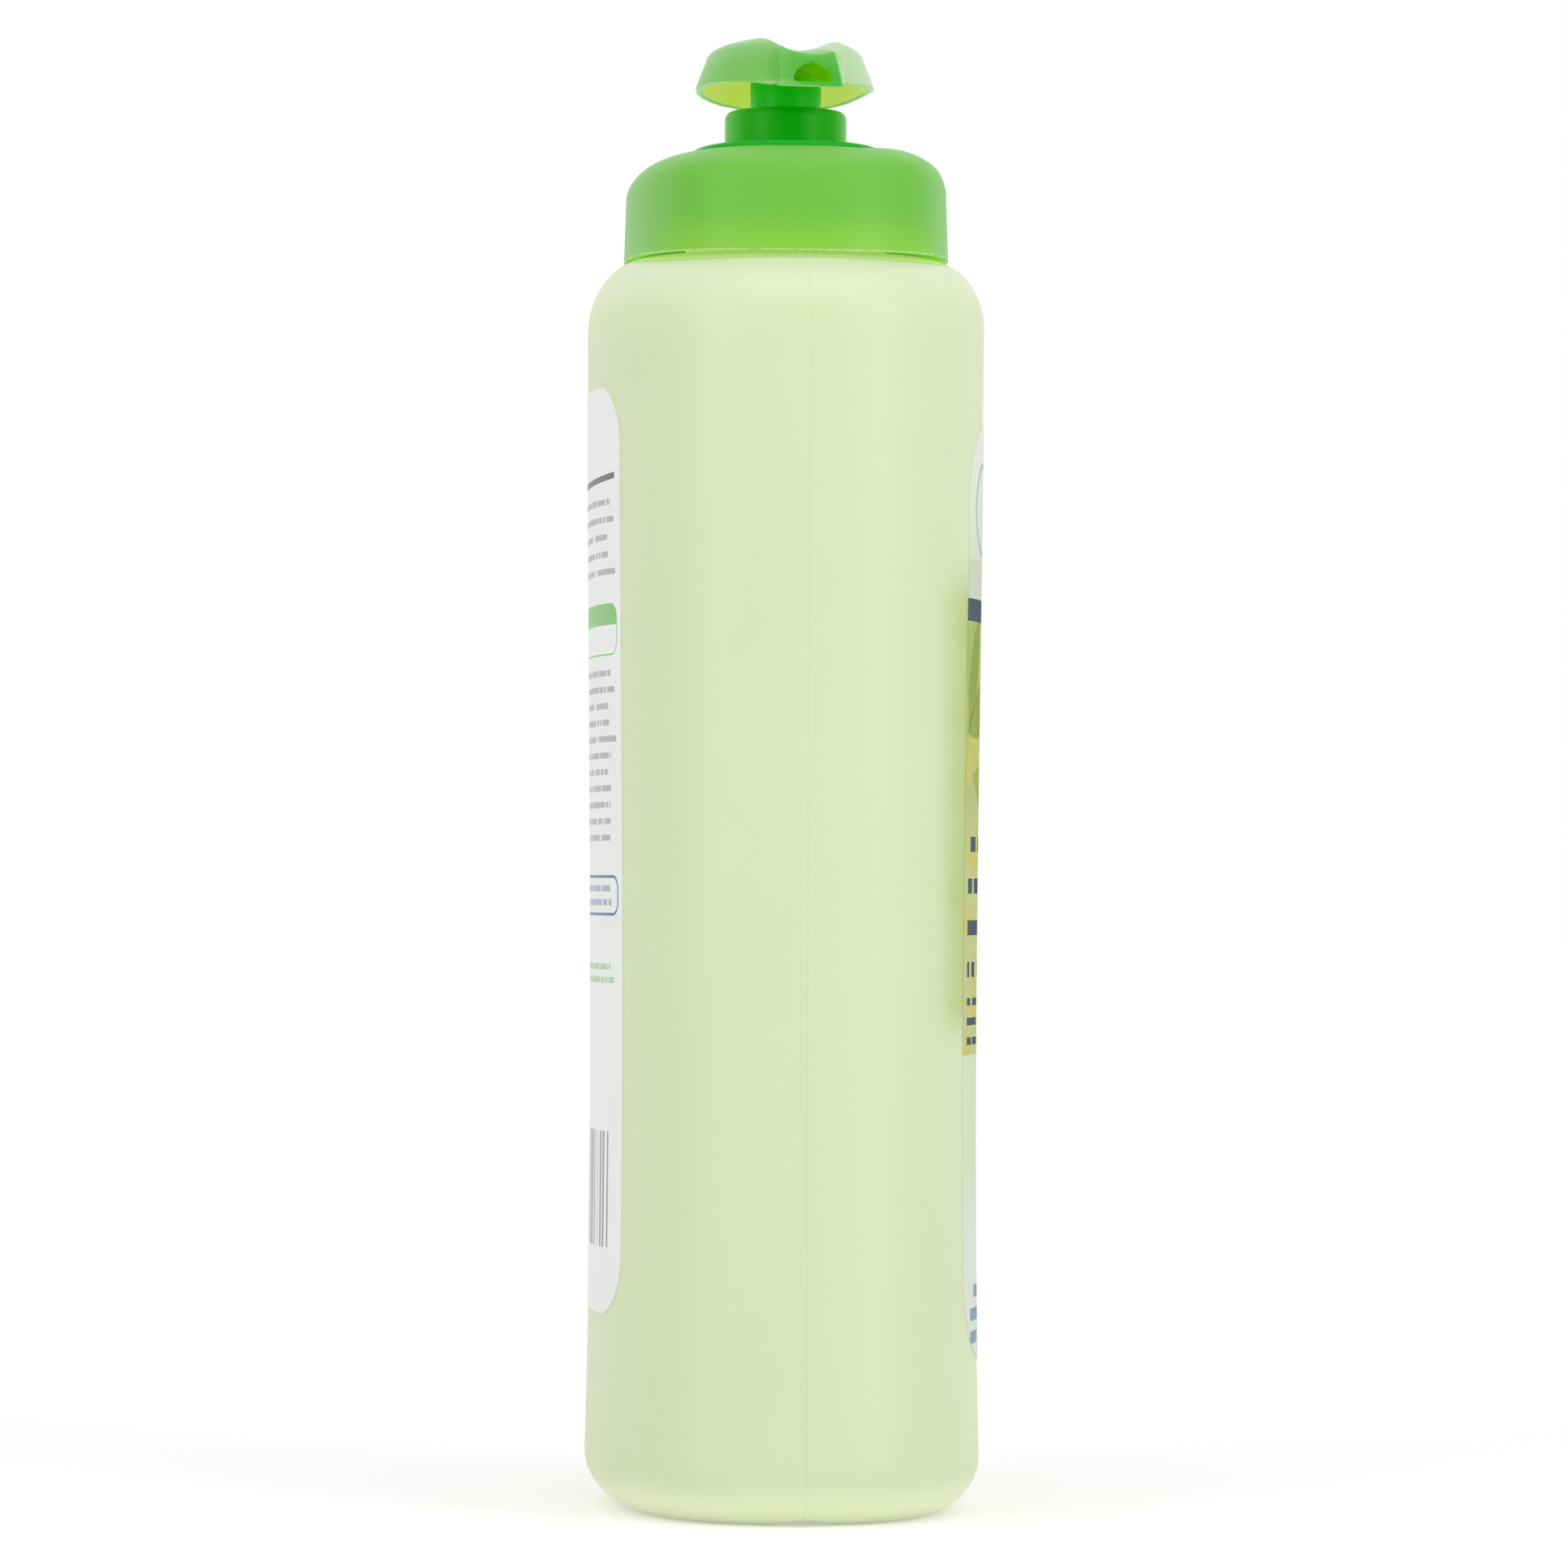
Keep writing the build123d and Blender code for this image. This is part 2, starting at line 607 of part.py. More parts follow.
# Outlet valve ball in the stem's head
with BuildPart() as outlet_ball:
    with Locations((0, 0, outlet_ball_z)):
        Sphere(OUTLET_BALL_RADIUS)
outlet_ball.part.label = "outlet_ball"
export_step(outlet_ball.part, "parts/outlet_ball.step")

# Piston: a sleeve on the stem with a thin sealing lip at each end
piston_top = piston_bottom + PISTON_LENGTH
piston_bore = STEM_RADIUS + STEM_FIT
lip_radius = CHAMBER_RADIUS - PISTON_CLEARANCE
with BuildPart() as piston:
    add(turned([
        (piston_bore, piston_bottom),
        (lip_radius, piston_bottom),
        (lip_radius, piston_bottom + PISTON_LIP_HEIGHT),
        (PISTON_WAIST_RADIUS, piston_bottom + PISTON_LIP_HEIGHT + PISTON_LIP_DEPTH),
        (PISTON_WAIST_RADIUS, piston_top - PISTON_LIP_HEIGHT - PISTON_LIP_DEPTH),
        (lip_radius, piston_top - PISTON_LIP_HEIGHT),
        (lip_radius, piston_top),
        (lip_radius - PISTON_LIP_WALL, piston_top),
        (PISTON_WAIST_RADIUS, piston_top - PISTON_LIP_DEPTH),
        (piston_bore, piston_top - PISTON_LIP_DEPTH),
    ]))
piston.part.label = "piston"
export_step(piston.part, "parts/piston.step")

# Collar: the chimney that guides the head, its oval deck and the plug that snaps into the housing
guide_bore = TUBE_RADIUS + TUBE_CLEARANCE
with BuildPart() as collar:
    add(oval_body([
        (DECK_HALF_LENGTH, DECK_HALF_DEPTH, DECK_POWER, closure_top),
        (DECK_HALF_LENGTH, DECK_HALF_DEPTH, DECK_POWER, deck_top),
    ]))
    fillet(collar.edges().group_by(Axis.Z)[-1], radius=DECK_EDGE)
    add(turned([
        (0, closure_top),
        (CHIMNEY_RADIUS, closure_top),
        (CHIMNEY_RADIUS, chimney_top),
        (0, chimney_top),
    ]))
    chimney_rims = collar.edges().filter_by(GeomType.CIRCLE).group_by(Axis.Z)
    fillet(chimney_rims[-1], radius=CHIMNEY_EDGE)
    add(turned([
        (0, plug_bottom),
        (PLUG_RADIUS, plug_bottom),
        (PLUG_RADIUS, bead_z - PLUG_BEAD),
        (PLUG_RADIUS + PLUG_BEAD, bead_z),
        (PLUG_RADIUS, bead_z + PLUG_BEAD),
        (PLUG_RADIUS, closure_top),
        (0, closure_top),
    ]))
    with Locations((0, 0, plug_bottom - CUT_MARGIN)):
        Cylinder(
            guide_bore,
            chimney_top - plug_bottom + 2 * CUT_MARGIN,
            align=(Align.CENTER, Align.CENTER, Align.MIN),
            mode=Mode.SUBTRACT,
        )
collar.part.label = "collar"
export_step(collar.part, "parts/collar.step")


# Pump head: a saddle over an oval skirt, with a thumb trough that runs down to a D-shaped spout
def head_levels(inset, top_drop):
    # Level cuts of the head: the flared skirt below the kink, then the low dome above it
    flare = (head_kink_z - spout_bottom) / (head_kink_z - head_rim_z)
    skirt = [
        (
            HEAD_KINK_HALF_LENGTH + (HEAD_RIM_HALF_LENGTH - HEAD_KINK_HALF_LENGTH) * flare - inset,
            HEAD_KINK_HALF_WIDTH + (HEAD_RIM_HALF_WIDTH - HEAD_KINK_HALF_WIDTH) * flare - inset,
            HEAD_POWER,
            spout_bottom,
        ),
        (HEAD_KINK_HALF_LENGTH - inset, HEAD_KINK_HALF_WIDTH - inset, HEAD_POWER, head_kink_z - top_drop),
    ]
    dome = []
    for step in range(CORNER_STEPS):
        outward, up = corner_share(step)
        share = HEAD_TOP_SHARE + (1 - HEAD_TOP_SHARE) * outward
        dome.append((
            (HEAD_KINK_HALF_LENGTH - inset) * share,
            (HEAD_KINK_HALF_WIDTH - inset) * share,
            HEAD_POWER,
            head_kink_z - top_drop + (head_top_z - head_kink_z) * up,
        ))
    share = HEAD_TOP_SHARE
    dome.append((
        (HEAD_KINK_HALF_LENGTH - inset) * share,
        (HEAD_KINK_HALF_WIDTH - inset) * share,
        HEAD_POWER,
        head_top_z - top_drop,
    ))
    return skirt, dome


def head_solid(inset, top_drop):
    # The skirt and the dome in one, before the trough is pressed in
    skirt, dome = head_levels(inset, top_drop)
    return oval_body(skirt) + oval_body(dome)


def trough(radius):
    # The thumb trough: a round groove that falls away to the front and the back
    with BuildPart(mode=Mode.PRIVATE) as groove:
        with Locations(Location((0, 0, trough_floor_z - TROUGH_ARC_RADIUS), (90, 0, 0))):
            Torus(TROUGH_ARC_RADIUS + TROUGH_RADIUS, radius)
    return groove.part


rim_axis_z = head_rim_z + HEAD_RIM_ARC_RADIUS
spout_floor = spout_bottom + SPOUT_FLOOR_WALL
head_room = head_solid(HEAD_WALL, HEAD_WALL) - trough(TROUGH_RADIUS + HEAD_WALL)
with BuildPart() as head:
    add(head_solid(0, 0))
    add(head_room, mode=Mode.SUBTRACT)
    with Locations((0, 0, rim_axis_z)):
        Cylinder(HEAD_RIM_ARC_RADIUS, 3 * HEAD_RIM_HALF_LENGTH, rotation=(0, 90, 0), mode=Mode.INTERSECT)
    with BuildSketch(Plane.YZ) as spout_section:
        with Locations((0, spout_bottom)):
            Rectangle(
                2 * SPOUT_HALF_WIDTH,
                head_kink_z - spout_bottom,
                align=(Align.CENTER, Align.MIN),
            )
        fillet(spout_section.vertices().group_by(Axis.Z)[0], radius=SPOUT_EDGE)
    extrude(amount=SPOUT_REACH)
    with BuildSketch(Plane.XY.offset(tube_bottom)):
        Circle(TUBE_RADIUS)
    extrude(amount=head_kink_z - tube_bottom)
    add(trough(TROUGH_RADIUS), mode=Mode.SUBTRACT)
    with BuildSketch(Plane.YZ):
        with Locations((0, spout_floor)):
            Ellipse(SPOUT_HOLE_WIDTH / 2, SPOUT_HOLE_HEIGHT)
            Rectangle(
                SPOUT_HOLE_WIDTH,
                SPOUT_HOLE_HEIGHT,
                align=(Align.CENTER, Align.MIN),
                mode=Mode.INTERSECT,
            )
    extrude(amount=2 * SPOUT_REACH, mode=Mode.SUBTRACT)
    with BuildSketch(Plane.XY.offset(tube_bottom - CUT_MARGIN)):
        Circle(STEM_HEAD_RADIUS + STEM_FIT)
    extrude(amount=stem_top - tube_bottom + CUT_MARGIN, mode=Mode.SUBTRACT)
    with BuildSketch(Plane.XY.offset(stem_top)):
        Circle(HEAD_PASSAGE_RADIUS)
        SlotOverall(HEAD_PASSAGE_SLOT, HEAD_PASSAGE_RADIUS)
    extrude(amount=spout_floor + SPOUT_HOLE_HEIGHT / 2 - stem_top, mode=Mode.SUBTRACT)
turned_head = head.part.rotate(Axis.Z, SPOUT_TURN)
turned_head.label = "head"
export_step(turned_head, "parts/head.step")

# Lotion: what the bottle holds, round the pump and under a little air
with BuildPart() as lotion:
    add(bottle_form(BOTTLE_WALL + LOTION_CLEARANCE, FLOOR_WALL + LOTION_CLEARANCE))
    add(
        oval_body(push_up_levels(
            PUSH_UP_MARGIN - FLOOR_WALL - LOTION_CLEARANCE,
            PUSH_UP + FLOOR_WALL + LOTION_CLEARANCE,
        )),
        mode=Mode.SUBTRACT,
    )
    split(bisect_by=Plane.XY.offset(lotion_level), keep=Keep.BOTTOM)
    add(
        turned([
            (0, 0),
            (DIP_TUBE_RADIUS + LOTION_CLEARANCE, 0),
            (DIP_TUBE_RADIUS + LOTION_CLEARANCE, socket_bottom - LOTION_CLEARANCE),
            (socket_outside + LOTION_CLEARANCE, socket_bottom - LOTION_CLEARANCE),
            (socket_outside + LOTION_CLEARANCE, socket_top),
            (ball_room_outside + LOTION_CLEARANCE, ball_cone_top),
            (ball_room_outside + LOTION_CLEARANCE, ball_room_top - LOTION_CLEARANCE),
            (chamber_outside + LOTION_CLEARANCE, chamber_bottom - LOTION_CLEARANCE),
            (chamber_outside + LOTION_CLEARANCE, lotion_level + CUT_MARGIN),
            (0, lotion_level + CUT_MARGIN),
        ]),
        mode=Mode.SUBTRACT,
    )
lotion.part.label = "lotion"
export_step(lotion.part, "parts/lotion.step")
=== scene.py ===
# %% [markdown]
# # A pump bottle of body lotion
# The CAD model comes in first. It is the frame: every piece made here lies inside its box, in metres, with
# +Z up, the broad front facing -Y and the pump's spout pointing to -X, where the camera stands.

# %% Frame
import math

import bmesh
import bpy
import numpy as np
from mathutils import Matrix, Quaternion, Vector


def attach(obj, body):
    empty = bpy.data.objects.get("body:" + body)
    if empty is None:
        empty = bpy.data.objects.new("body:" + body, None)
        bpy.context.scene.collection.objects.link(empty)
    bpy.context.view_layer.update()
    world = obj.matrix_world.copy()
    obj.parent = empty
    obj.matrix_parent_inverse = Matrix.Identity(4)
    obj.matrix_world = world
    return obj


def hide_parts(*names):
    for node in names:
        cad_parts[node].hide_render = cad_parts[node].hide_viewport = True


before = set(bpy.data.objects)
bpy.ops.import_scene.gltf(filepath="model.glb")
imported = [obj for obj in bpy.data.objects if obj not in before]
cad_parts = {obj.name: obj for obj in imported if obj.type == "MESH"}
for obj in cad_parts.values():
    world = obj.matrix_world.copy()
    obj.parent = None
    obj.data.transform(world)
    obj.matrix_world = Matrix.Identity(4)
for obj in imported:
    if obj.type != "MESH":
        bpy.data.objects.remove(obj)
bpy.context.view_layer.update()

# %% [markdown]
# Blender stores light in linear values, while a colour given here is in screen values from 0 to 255. One
# small function turns the second into the first, so that every colour below reads as on a screen.

# %% Colours
def screen(red, green, blue):
    """A colour in linear light: each channel c/255 goes through the screen's curve,
    ((c + 0.055) / 1.055) ** 2.4."""
    parts = np.array([red, green, blue]) / 255.0
    light = np.where(parts <= 0.04045, parts / 12.92, ((parts + 0.055) / 1.055) ** 2.4)
    return (*light.tolist(), 1.0)


print("half grey on a screen is", round(screen(128, 128, 128)[0], 3), "in linear light")

# %% [markdown]
# ## Camera
# The bottle is seen at its narrow end, from 1.1 m away and at half its height, through a long lens. The
# picture's middle is higher on the bottle than the lens, so the frame is shifted up and not tilted, which
# keeps the bottle's sides parallel. The camera stands a few degrees round towards the back label.

# %% Camera
CAMERA_REACH = 1.10
CAMERA_HEIGHT = 0.0998
CAMERA_TURN = math.radians(5.45)
CAMERA_ROLL = math.radians(0.23)
PIXELS_PER_METRE = 7660.0
FRAME_PIXELS = 1932.0
HORIZON_ROW = 1090.0
AXIS_COLUMN = 964.3
SENSOR = 36.0

look = Vector((math.cos(CAMERA_TURN), -math.sin(CAMERA_TURN), 0.0))
camera_data = bpy.data.cameras.new("camera")
camera_data.sensor_width = SENSOR
camera_data.lens = PIXELS_PER_METRE * CAMERA_REACH / FRAME_PIXELS * SENSOR
camera_data.shift_y = (HORIZON_ROW - FRAME_PIXELS / 2) / FRAME_PIXELS
camera_data.shift_x = (FRAME_PIXELS / 2 - AXIS_COLUMN) / FRAME_PIXELS
camera = bpy.data.objects.new("camera", camera_data)
camera.location = -CAMERA_REACH * look + Vector((0.0, 0.0, CAMERA_HEIGHT))
camera.rotation_mode = "QUATERNION"
camera.rotation_quaternion = (-look).to_track_quat("Z", "Y") @ Quaternion((0.0, 0.0, 1.0), CAMERA_ROLL)
bpy.context.scene.collection.objects.link(camera)
bpy.context.scene.camera = camera
bpy.context.scene.view_settings.view_transform = "Standard"
print("lens", round(camera_data.lens, 1), "mm")

# %% [markdown]
# ## Light
# A bottle photographed on white is lit from all round. An even pale world does most of that here, and two
# tall soft lamps beside the camera and one overhead give the mouldings their form. The world is plain white
# to the camera, and to mirrors and clear pieces too.

# %% World
WORLD_LEVEL = 0.72
WHITE = (1.0, 1.0, 1.0, 1.0)

world = bpy.data.worlds.new("white studio")
world.use_nodes = True
bpy.context.scene.world = world


def place(tree, kind, feeds=None, **settings):
    """Adds a node of that kind, sets its settings and feeds its sockets with values or with other sockets."""
    made = tree.nodes.new(kind)
    for name, value in settings.items():
        setattr(made, name, value)
    for key, value in (feeds or {}).items():
        if isinstance(value, bpy.types.NodeSocket):
            tree.links.new(value, made.inputs[key])
        else:
            made.inputs[key].default_value = value
    return made


def calc(tree, operation, *terms):
    """One Math node: the operation on one, two or three values or sockets."""
    return place(tree, "ShaderNodeMath", dict(enumerate(terms)), operation=operation).outputs[0]


def product(tree, *masks):
    """The product of any number of masks, values or sockets."""
    result = masks[0]
    for mask in masks[1:]:
        result = calc(tree, "MULTIPLY", result, mask)
    return result


def magnitude(tree, value):
    """The value without its sign."""
    return calc(tree, "ABSOLUTE", value)


def seen_directly(tree):
    """1 for rays from the camera, from mirrors and through clear pieces, else 0."""
    rays = tree.nodes.new("ShaderNodeLightPath").outputs
    either = calc(tree, "MAXIMUM", rays["Is Camera Ray"], rays["Is Glossy Ray"])
    return calc(tree, "MAXIMUM", either, rays["Is Transmission Ray"])


sky = world.node_tree
sky.nodes.clear()
strength = calc(sky, "MULTIPLY_ADD", seen_directly(sky), 1.0 - WORLD_LEVEL, WORLD_LEVEL)
background = place(sky, "ShaderNodeBackground", {"Color": WHITE, "Strength": strength})
place(sky, "ShaderNodeOutputWorld", {"Surface": background.outputs[0]})
print("world level", WORLD_LEVEL)

# %% [markdown]
# The lamps are wide soft boxes, so their light has no hard edge. The right one is a little stronger, as on
# the real bottle, and the one overhead draws a faint edge of light on the head and the shoulder.

# %% Lamps
def soft_lamp(name, spot, aim, width, height, watts):
    """A rectangular lamp at spot that faces aim. Its light is even over width by height metres."""
    data = bpy.data.lights.new(name, "AREA")
    data.shape = "RECTANGLE"
    data.size, data.size_y = width, height
    data.energy = watts
    lamp = bpy.data.objects.new(name, data)
    lamp.location = spot
    lamp.rotation_mode = "QUATERNION"
    lamp.rotation_quaternion = (Vector(spot) - Vector(aim)).to_track_quat("Z", "Y")
    bpy.context.scene.collection.objects.link(lamp)
    return lamp


MIDDLE = (0.0, 0.0, 0.12)
lamps = [
    soft_lamp("left lamp", (-0.75, 0.95, 0.35), MIDDLE, 0.5, 1.1, 3.5),
    soft_lamp("right lamp", (-0.85, -0.85, 0.35), MIDDLE, 0.5, 1.1, 4.6),
    soft_lamp("top lamp", (-0.2, 0.0, 1.1), MIDDLE, 0.9, 0.9, 1.4),
]
print("lamps:", [lamp.name for lamp in lamps])

# %% [markdown]
# The floor is a wide white disc. It glows a little to the camera, so that it stays as white as the backdrop
# out to its edge, and it still darkens where the bottle keeps the light off it.

# %% Floor
FLOOR_REACH = 6.0
FLOOR_GLOW = 0.30
FAR_GLOW = 0.20
FLOOR_SHADE = 0.80
GLOW_GROWS = (0.3, 1.6)
RIM_POINTS = 96

floor_data = bpy.data.meshes.new("floor")
turns = np.linspace(0, 2 * np.pi, RIM_POINTS, endpoint=False)
rim = np.stack([FLOOR_REACH * np.cos(turns), FLOOR_REACH * np.sin(turns), np.zeros(RIM_POINTS)], axis=1)
floor_data.from_pydata(rim.tolist(), [], [list(range(RIM_POINTS))])
floor = bpy.data.objects.new("floor", floor_data)
bpy.context.scene.collection.objects.link(floor)
floor_white = bpy.data.materials.new("floor white")
floor_white.use_nodes = True
tree = floor_white.node_tree
tree.nodes.clear()
matt = place(tree, "ShaderNodeBsdfDiffuse", {"Color": (FLOOR_SHADE, FLOOR_SHADE, FLOOR_SHADE, 1.0)})
spot = tree.nodes.new("ShaderNodeTexCoord").outputs["Object"]
from_middle = place(tree, "ShaderNodeVectorMath", {0: spot}, operation="LENGTH").outputs["Value"]
limits = {"Value": from_middle, "From Min": GLOW_GROWS[0], "From Max": GLOW_GROWS[1]}
far = place(tree, "ShaderNodeMapRange", limits).outputs[0]
glow_level = product(tree, seen_directly(tree), calc(tree, "MULTIPLY_ADD", far, FAR_GLOW, FLOOR_GLOW))
glow = place(tree, "ShaderNodeEmission", {"Color": WHITE, "Strength": glow_level})
both = place(tree, "ShaderNodeAddShader", {0: matt.outputs[0], 1: glow.outputs[0]})
place(tree, "ShaderNodeOutputMaterial", {"Surface": both.outputs[0]})
floor_data.materials.append(floor_white)
print("floor", FLOOR_REACH, "m")

# %% [markdown]
# ## Surfaces
# Every moulded piece of this bottle is a stack of ovals. An oval is |x/a|^p + |y/b|^p = 1: with p = 2 it is
# an ellipse, and the bottle's 2.35 is a little squarer. A piece is then one table with a row for each
# level, (a, b, p, z), and its skin is the grid of those levels by a full turn. A table that runs up the
# outside and down the inside gives a wall its real thickness.

# %% Skin of ovals
MM = 0.001


def oval(levels, turns):
    """Points of oval levels: x = a sign(cos t) |cos t|^(2/p) and y = b sign(sin t) |sin t|^(2/p), at each
    level's z."""
    a, b, p, z = (levels[:, k, None] for k in range(4))
    cosine, sine = np.cos(turns)[None, :], np.sin(turns)[None, :]
    x = a * np.sign(cosine) * np.abs(cosine) ** (2 / p)
    y = b * np.sign(sine) * np.abs(sine) ** (2 / p)
    return np.stack([x, y, np.broadcast_to(z, x.shape)], axis=-1)


def grid_faces(rows, columns, close_rows):
    """Quads of a grid whose columns close on themselves, and whose rows do too if close_rows."""
    last = rows if close_rows else rows - 1
    row, column = np.meshgrid(np.arange(last), np.arange(columns), indexing="ij")
    above, beside = (row + 1) % rows, (column + 1) % columns
    return np.stack(
        [row * columns + column, row * columns + beside, above * columns + beside, above * columns + column],
        axis=-1,
    ).reshape(-1, 4)


def mesh_of(name, points, faces, smooth_angle=40.0):
    """A mesh piece from points in millimetres. Edges sharper than smooth_angle stay crisp."""
    data = bpy.data.meshes.new(name)
    data.from_pydata((np.asarray(points).reshape(-1, 3) * MM).tolist(), [], np.asarray(faces).tolist())
    work = bmesh.new()
    work.from_mesh(data)
    bmesh.ops.remove_doubles(work, verts=work.verts, dist=1e-7)
    bmesh.ops.dissolve_degenerate(work, edges=work.edges, dist=1e-8)
    bmesh.ops.recalc_face_normals(work, faces=work.faces)
    work.to_mesh(data)
    work.free()
    data.shade_smooth()
    data.set_sharp_from_angle(angle=math.radians(smooth_angle))
    piece = bpy.data.objects.new(name, data)
    bpy.context.scene.collection.objects.link(piece)
    return piece


def is_closed(piece):
    """True if every edge of the piece has exactly two faces."""
    work = bmesh.new()
    work.from_mesh(piece.data)
    closed = all(edge.is_manifold for edge in work.edges)
    work.free()
    return closed


def arc(count):
    """Quarter turn in count steps, as cosine and sine."""
    turn = np.linspace(0, np.pi / 2, count)
    return np.cos(turn), np.sin(turn)


def ease(value, low, high):
    """A smooth share, 0 at low and 1 at high: t^2 (3 - 2 t) with t = (value - low) / (high - low).
    low may be the larger."""
    t = np.clip((value - low) / (high - low), 0, 1)
    return t * t * (3 - 2 * t)


def rows_of(*columns):
    """Level rows (a, b, p, z) from four columns, where a single number stands for a whole column."""
    return np.stack(np.broadcast_arrays(*[np.asarray(c, float) for c in columns]), axis=-1).reshape(-1, 4)


TURNS = np.linspace(0, 2 * np.pi, 240, endpoint=False)
print("grid of", len(TURNS), "steps a turn")

# %% [markdown]
# ## Bottle
# The bottle is blown from one tube of soft plastic in a two-part mould, so it is one skin from foot to
# neck. The wall draws in by 0.9 mm low down, where fingers close round it. The foot rounds under to a flat
# ring, inside which it is pushed up, and a shallow channel crosses the ring at each end. The level table
# runs up the outside and back down the inside, 1 mm in.

# %% Bottle skin
BODY = (43.0, 31.45, 2.35)
CROWN = (21.0, 22.6, 2.0)
WALL, FLOOR_WALL = 1.0, 2.0
SHOULDER_START, SHOULDER_RISE = 188.6, 11.2
FOOT_OUT, FOOT_UP, FOOT_PINCH = 9.1, 8.8, 0.15
PUSH_UP, PUSH_MARGIN = 3.6, 5.0
CHANNEL_WIDTH, CHANNEL_HEIGHT = 10.0, 1.0
NECK_RADIUS, NECK_BORE, NECK_TOP = 16.0, 13.6, 211.7


def pinch(z):
    """How far the wall draws in at height z: a cubic through the foot, the waist, a point above it and the
    shoulder."""
    knots = np.array([FOOT_UP, 66.0, 127.3, SHOULDER_START])
    drawn = np.array([FOOT_PINCH, 0.9, 0.54, 0.0])
    return np.polyval(np.polyfit(knots, drawn, 3), z)


def foot(inset, floor, count):
    """Rounded corner of the foot, from the floor up: half sizes draw in by FOOT_OUT (1 - cos t), and z is
    floor + rise (1 - sin t)."""
    cosine, sine = arc(count)
    drawn = FOOT_PINCH + inset + (FOOT_OUT - inset) * (1 - cosine[::-1])
    z = floor + (FOOT_UP - floor) * (1 - sine[::-1])
    return rows_of(BODY[0] - drawn, BODY[1] - drawn, BODY[2], z)


def wall(inset, count):
    """The tall wall from the foot to the shoulder, less the pinch and the inset."""
    z = np.linspace(FOOT_UP, SHOULDER_START, count)
    return rows_of(BODY[0] - pinch(z) - inset, BODY[1] - pinch(z) - inset, BODY[2], z)


def shoulder(inset, count):
    """The shoulder: every half size goes from the body's to the crown's as cos t, and z rises as sin t."""
    cosine, sine = arc(count)
    a = CROWN[0] + (BODY[0] - inset - CROWN[0]) * cosine
    b = CROWN[1] + (BODY[1] - inset - CROWN[1]) * cosine
    power = CROWN[2] + (BODY[2] - CROWN[2]) * cosine
    return rows_of(a, b, power, SHOULDER_START + (SHOULDER_RISE - inset) * sine)


def hollow(margin, rise, count):
    """The pushed-up middle of the foot, from its centre out: an oval cap of height rise."""
    cosine, sine = arc(count)
    a = BODY[0] - FOOT_PINCH - FOOT_OUT - margin
    b = BODY[1] - FOOT_PINCH - FOOT_OUT - margin
    return rows_of(a * cosine[::-1], b * cosine[::-1], BODY[2], rise * sine[::-1])


neck_profile = np.array([
    (NECK_RADIUS, 199.8), (NECK_RADIUS, 204.9), (16.9, 205.45), (16.9, 206.55), (NECK_RADIUS, 208.2),
    (NECK_RADIUS, NECK_TOP - 0.4), (15.6, NECK_TOP), (NECK_BORE + 0.3, NECK_TOP), (NECK_BORE, NECK_TOP - 0.3),
    (NECK_BORE, 198.8),
])
neck = rows_of(neck_profile[:, 0], neck_profile[:, 0], 2.0, neck_profile[:, 1])
outside = np.vstack([hollow(PUSH_MARGIN, PUSH_UP, 14), foot(0, 0, 24), wall(0, 70)[1:], shoulder(0, 40)[1:]])
inside = np.vstack([
    hollow(PUSH_MARGIN - FLOOR_WALL, PUSH_UP + FLOOR_WALL, 10)[:-1], foot(WALL, FLOOR_WALL, 12),
    wall(WALL, 24)[1:], shoulder(WALL, 16)[1:],
])
levels = np.vstack([outside, neck, inside[::-1]])
points = oval(levels, TURNS)
channel_radius = (CHANNEL_WIDTH ** 2 / 4 + CHANNEL_HEIGHT ** 2) / (2 * CHANNEL_HEIGHT)
channel = CHANNEL_HEIGHT - channel_radius + np.sqrt(np.maximum(channel_radius ** 2 - points[..., 1] ** 2, 0))
low = np.arange(len(levels))[:, None] < len(outside)
in_channel = low & (np.abs(points[..., 1]) < CHANNEL_WIDTH / 2)
points[..., 2] = np.where(in_channel, np.maximum(points[..., 2], channel), points[..., 2])
bottle = mesh_of("bottle_skin", points, grid_faces(len(levels), len(TURNS), False))
print("bottle", len(bottle.data.vertices), "points, closed", is_closed(bottle))

# %% [markdown]
# ## Closure
# The green closure is pushed down over the neck until a ring inside it snaps under a bead. Its outline is a
# smaller oval. The wall leans in a third of a millimetre for the mould, the top edge is a wide round, and
# the rim follows the bottle's shoulder: it falls away on a long arc towards the two ends. Inside hang a
# round skirt, which holds the neck, and ten ribs that stiffen the top. No moulding cools evenly: this one's
# top stands 0.7 mm higher at its right edge, where it hides the collar's deck.

# %% Closure skin
CLOSURE = (33.5, 25.7, 2.5)
CLOSURE_DRAFT, CLOSURE_WALL = 0.35, 1.3
ROUND_OUT, ROUND_UP = 9.5, 6.0
CLOSURE_TOP, CEILING, RIM_Z, RIM_FALL = 216.1, 214.2, 199.6, 0.8
BARREL_RADIUS = 9.0
SKIRT_BORE, SKIRT_RADIUS, SKIRT_BOTTOM, SKIRT_TOP = 17.15, 18.25, 202.6, 215.1
SNAP_RADIUS, SNAP_LOW, SNAP_HIGH = 16.25, 203.95, 204.65
RIB_INNER, RIB_HALF = SKIRT_BORE + 0.6, 0.45
RIGHT_RISE = 0.7
rim_arc = (CLOSURE[0] ** 2 + RIM_FALL ** 2) / (2 * RIM_FALL)


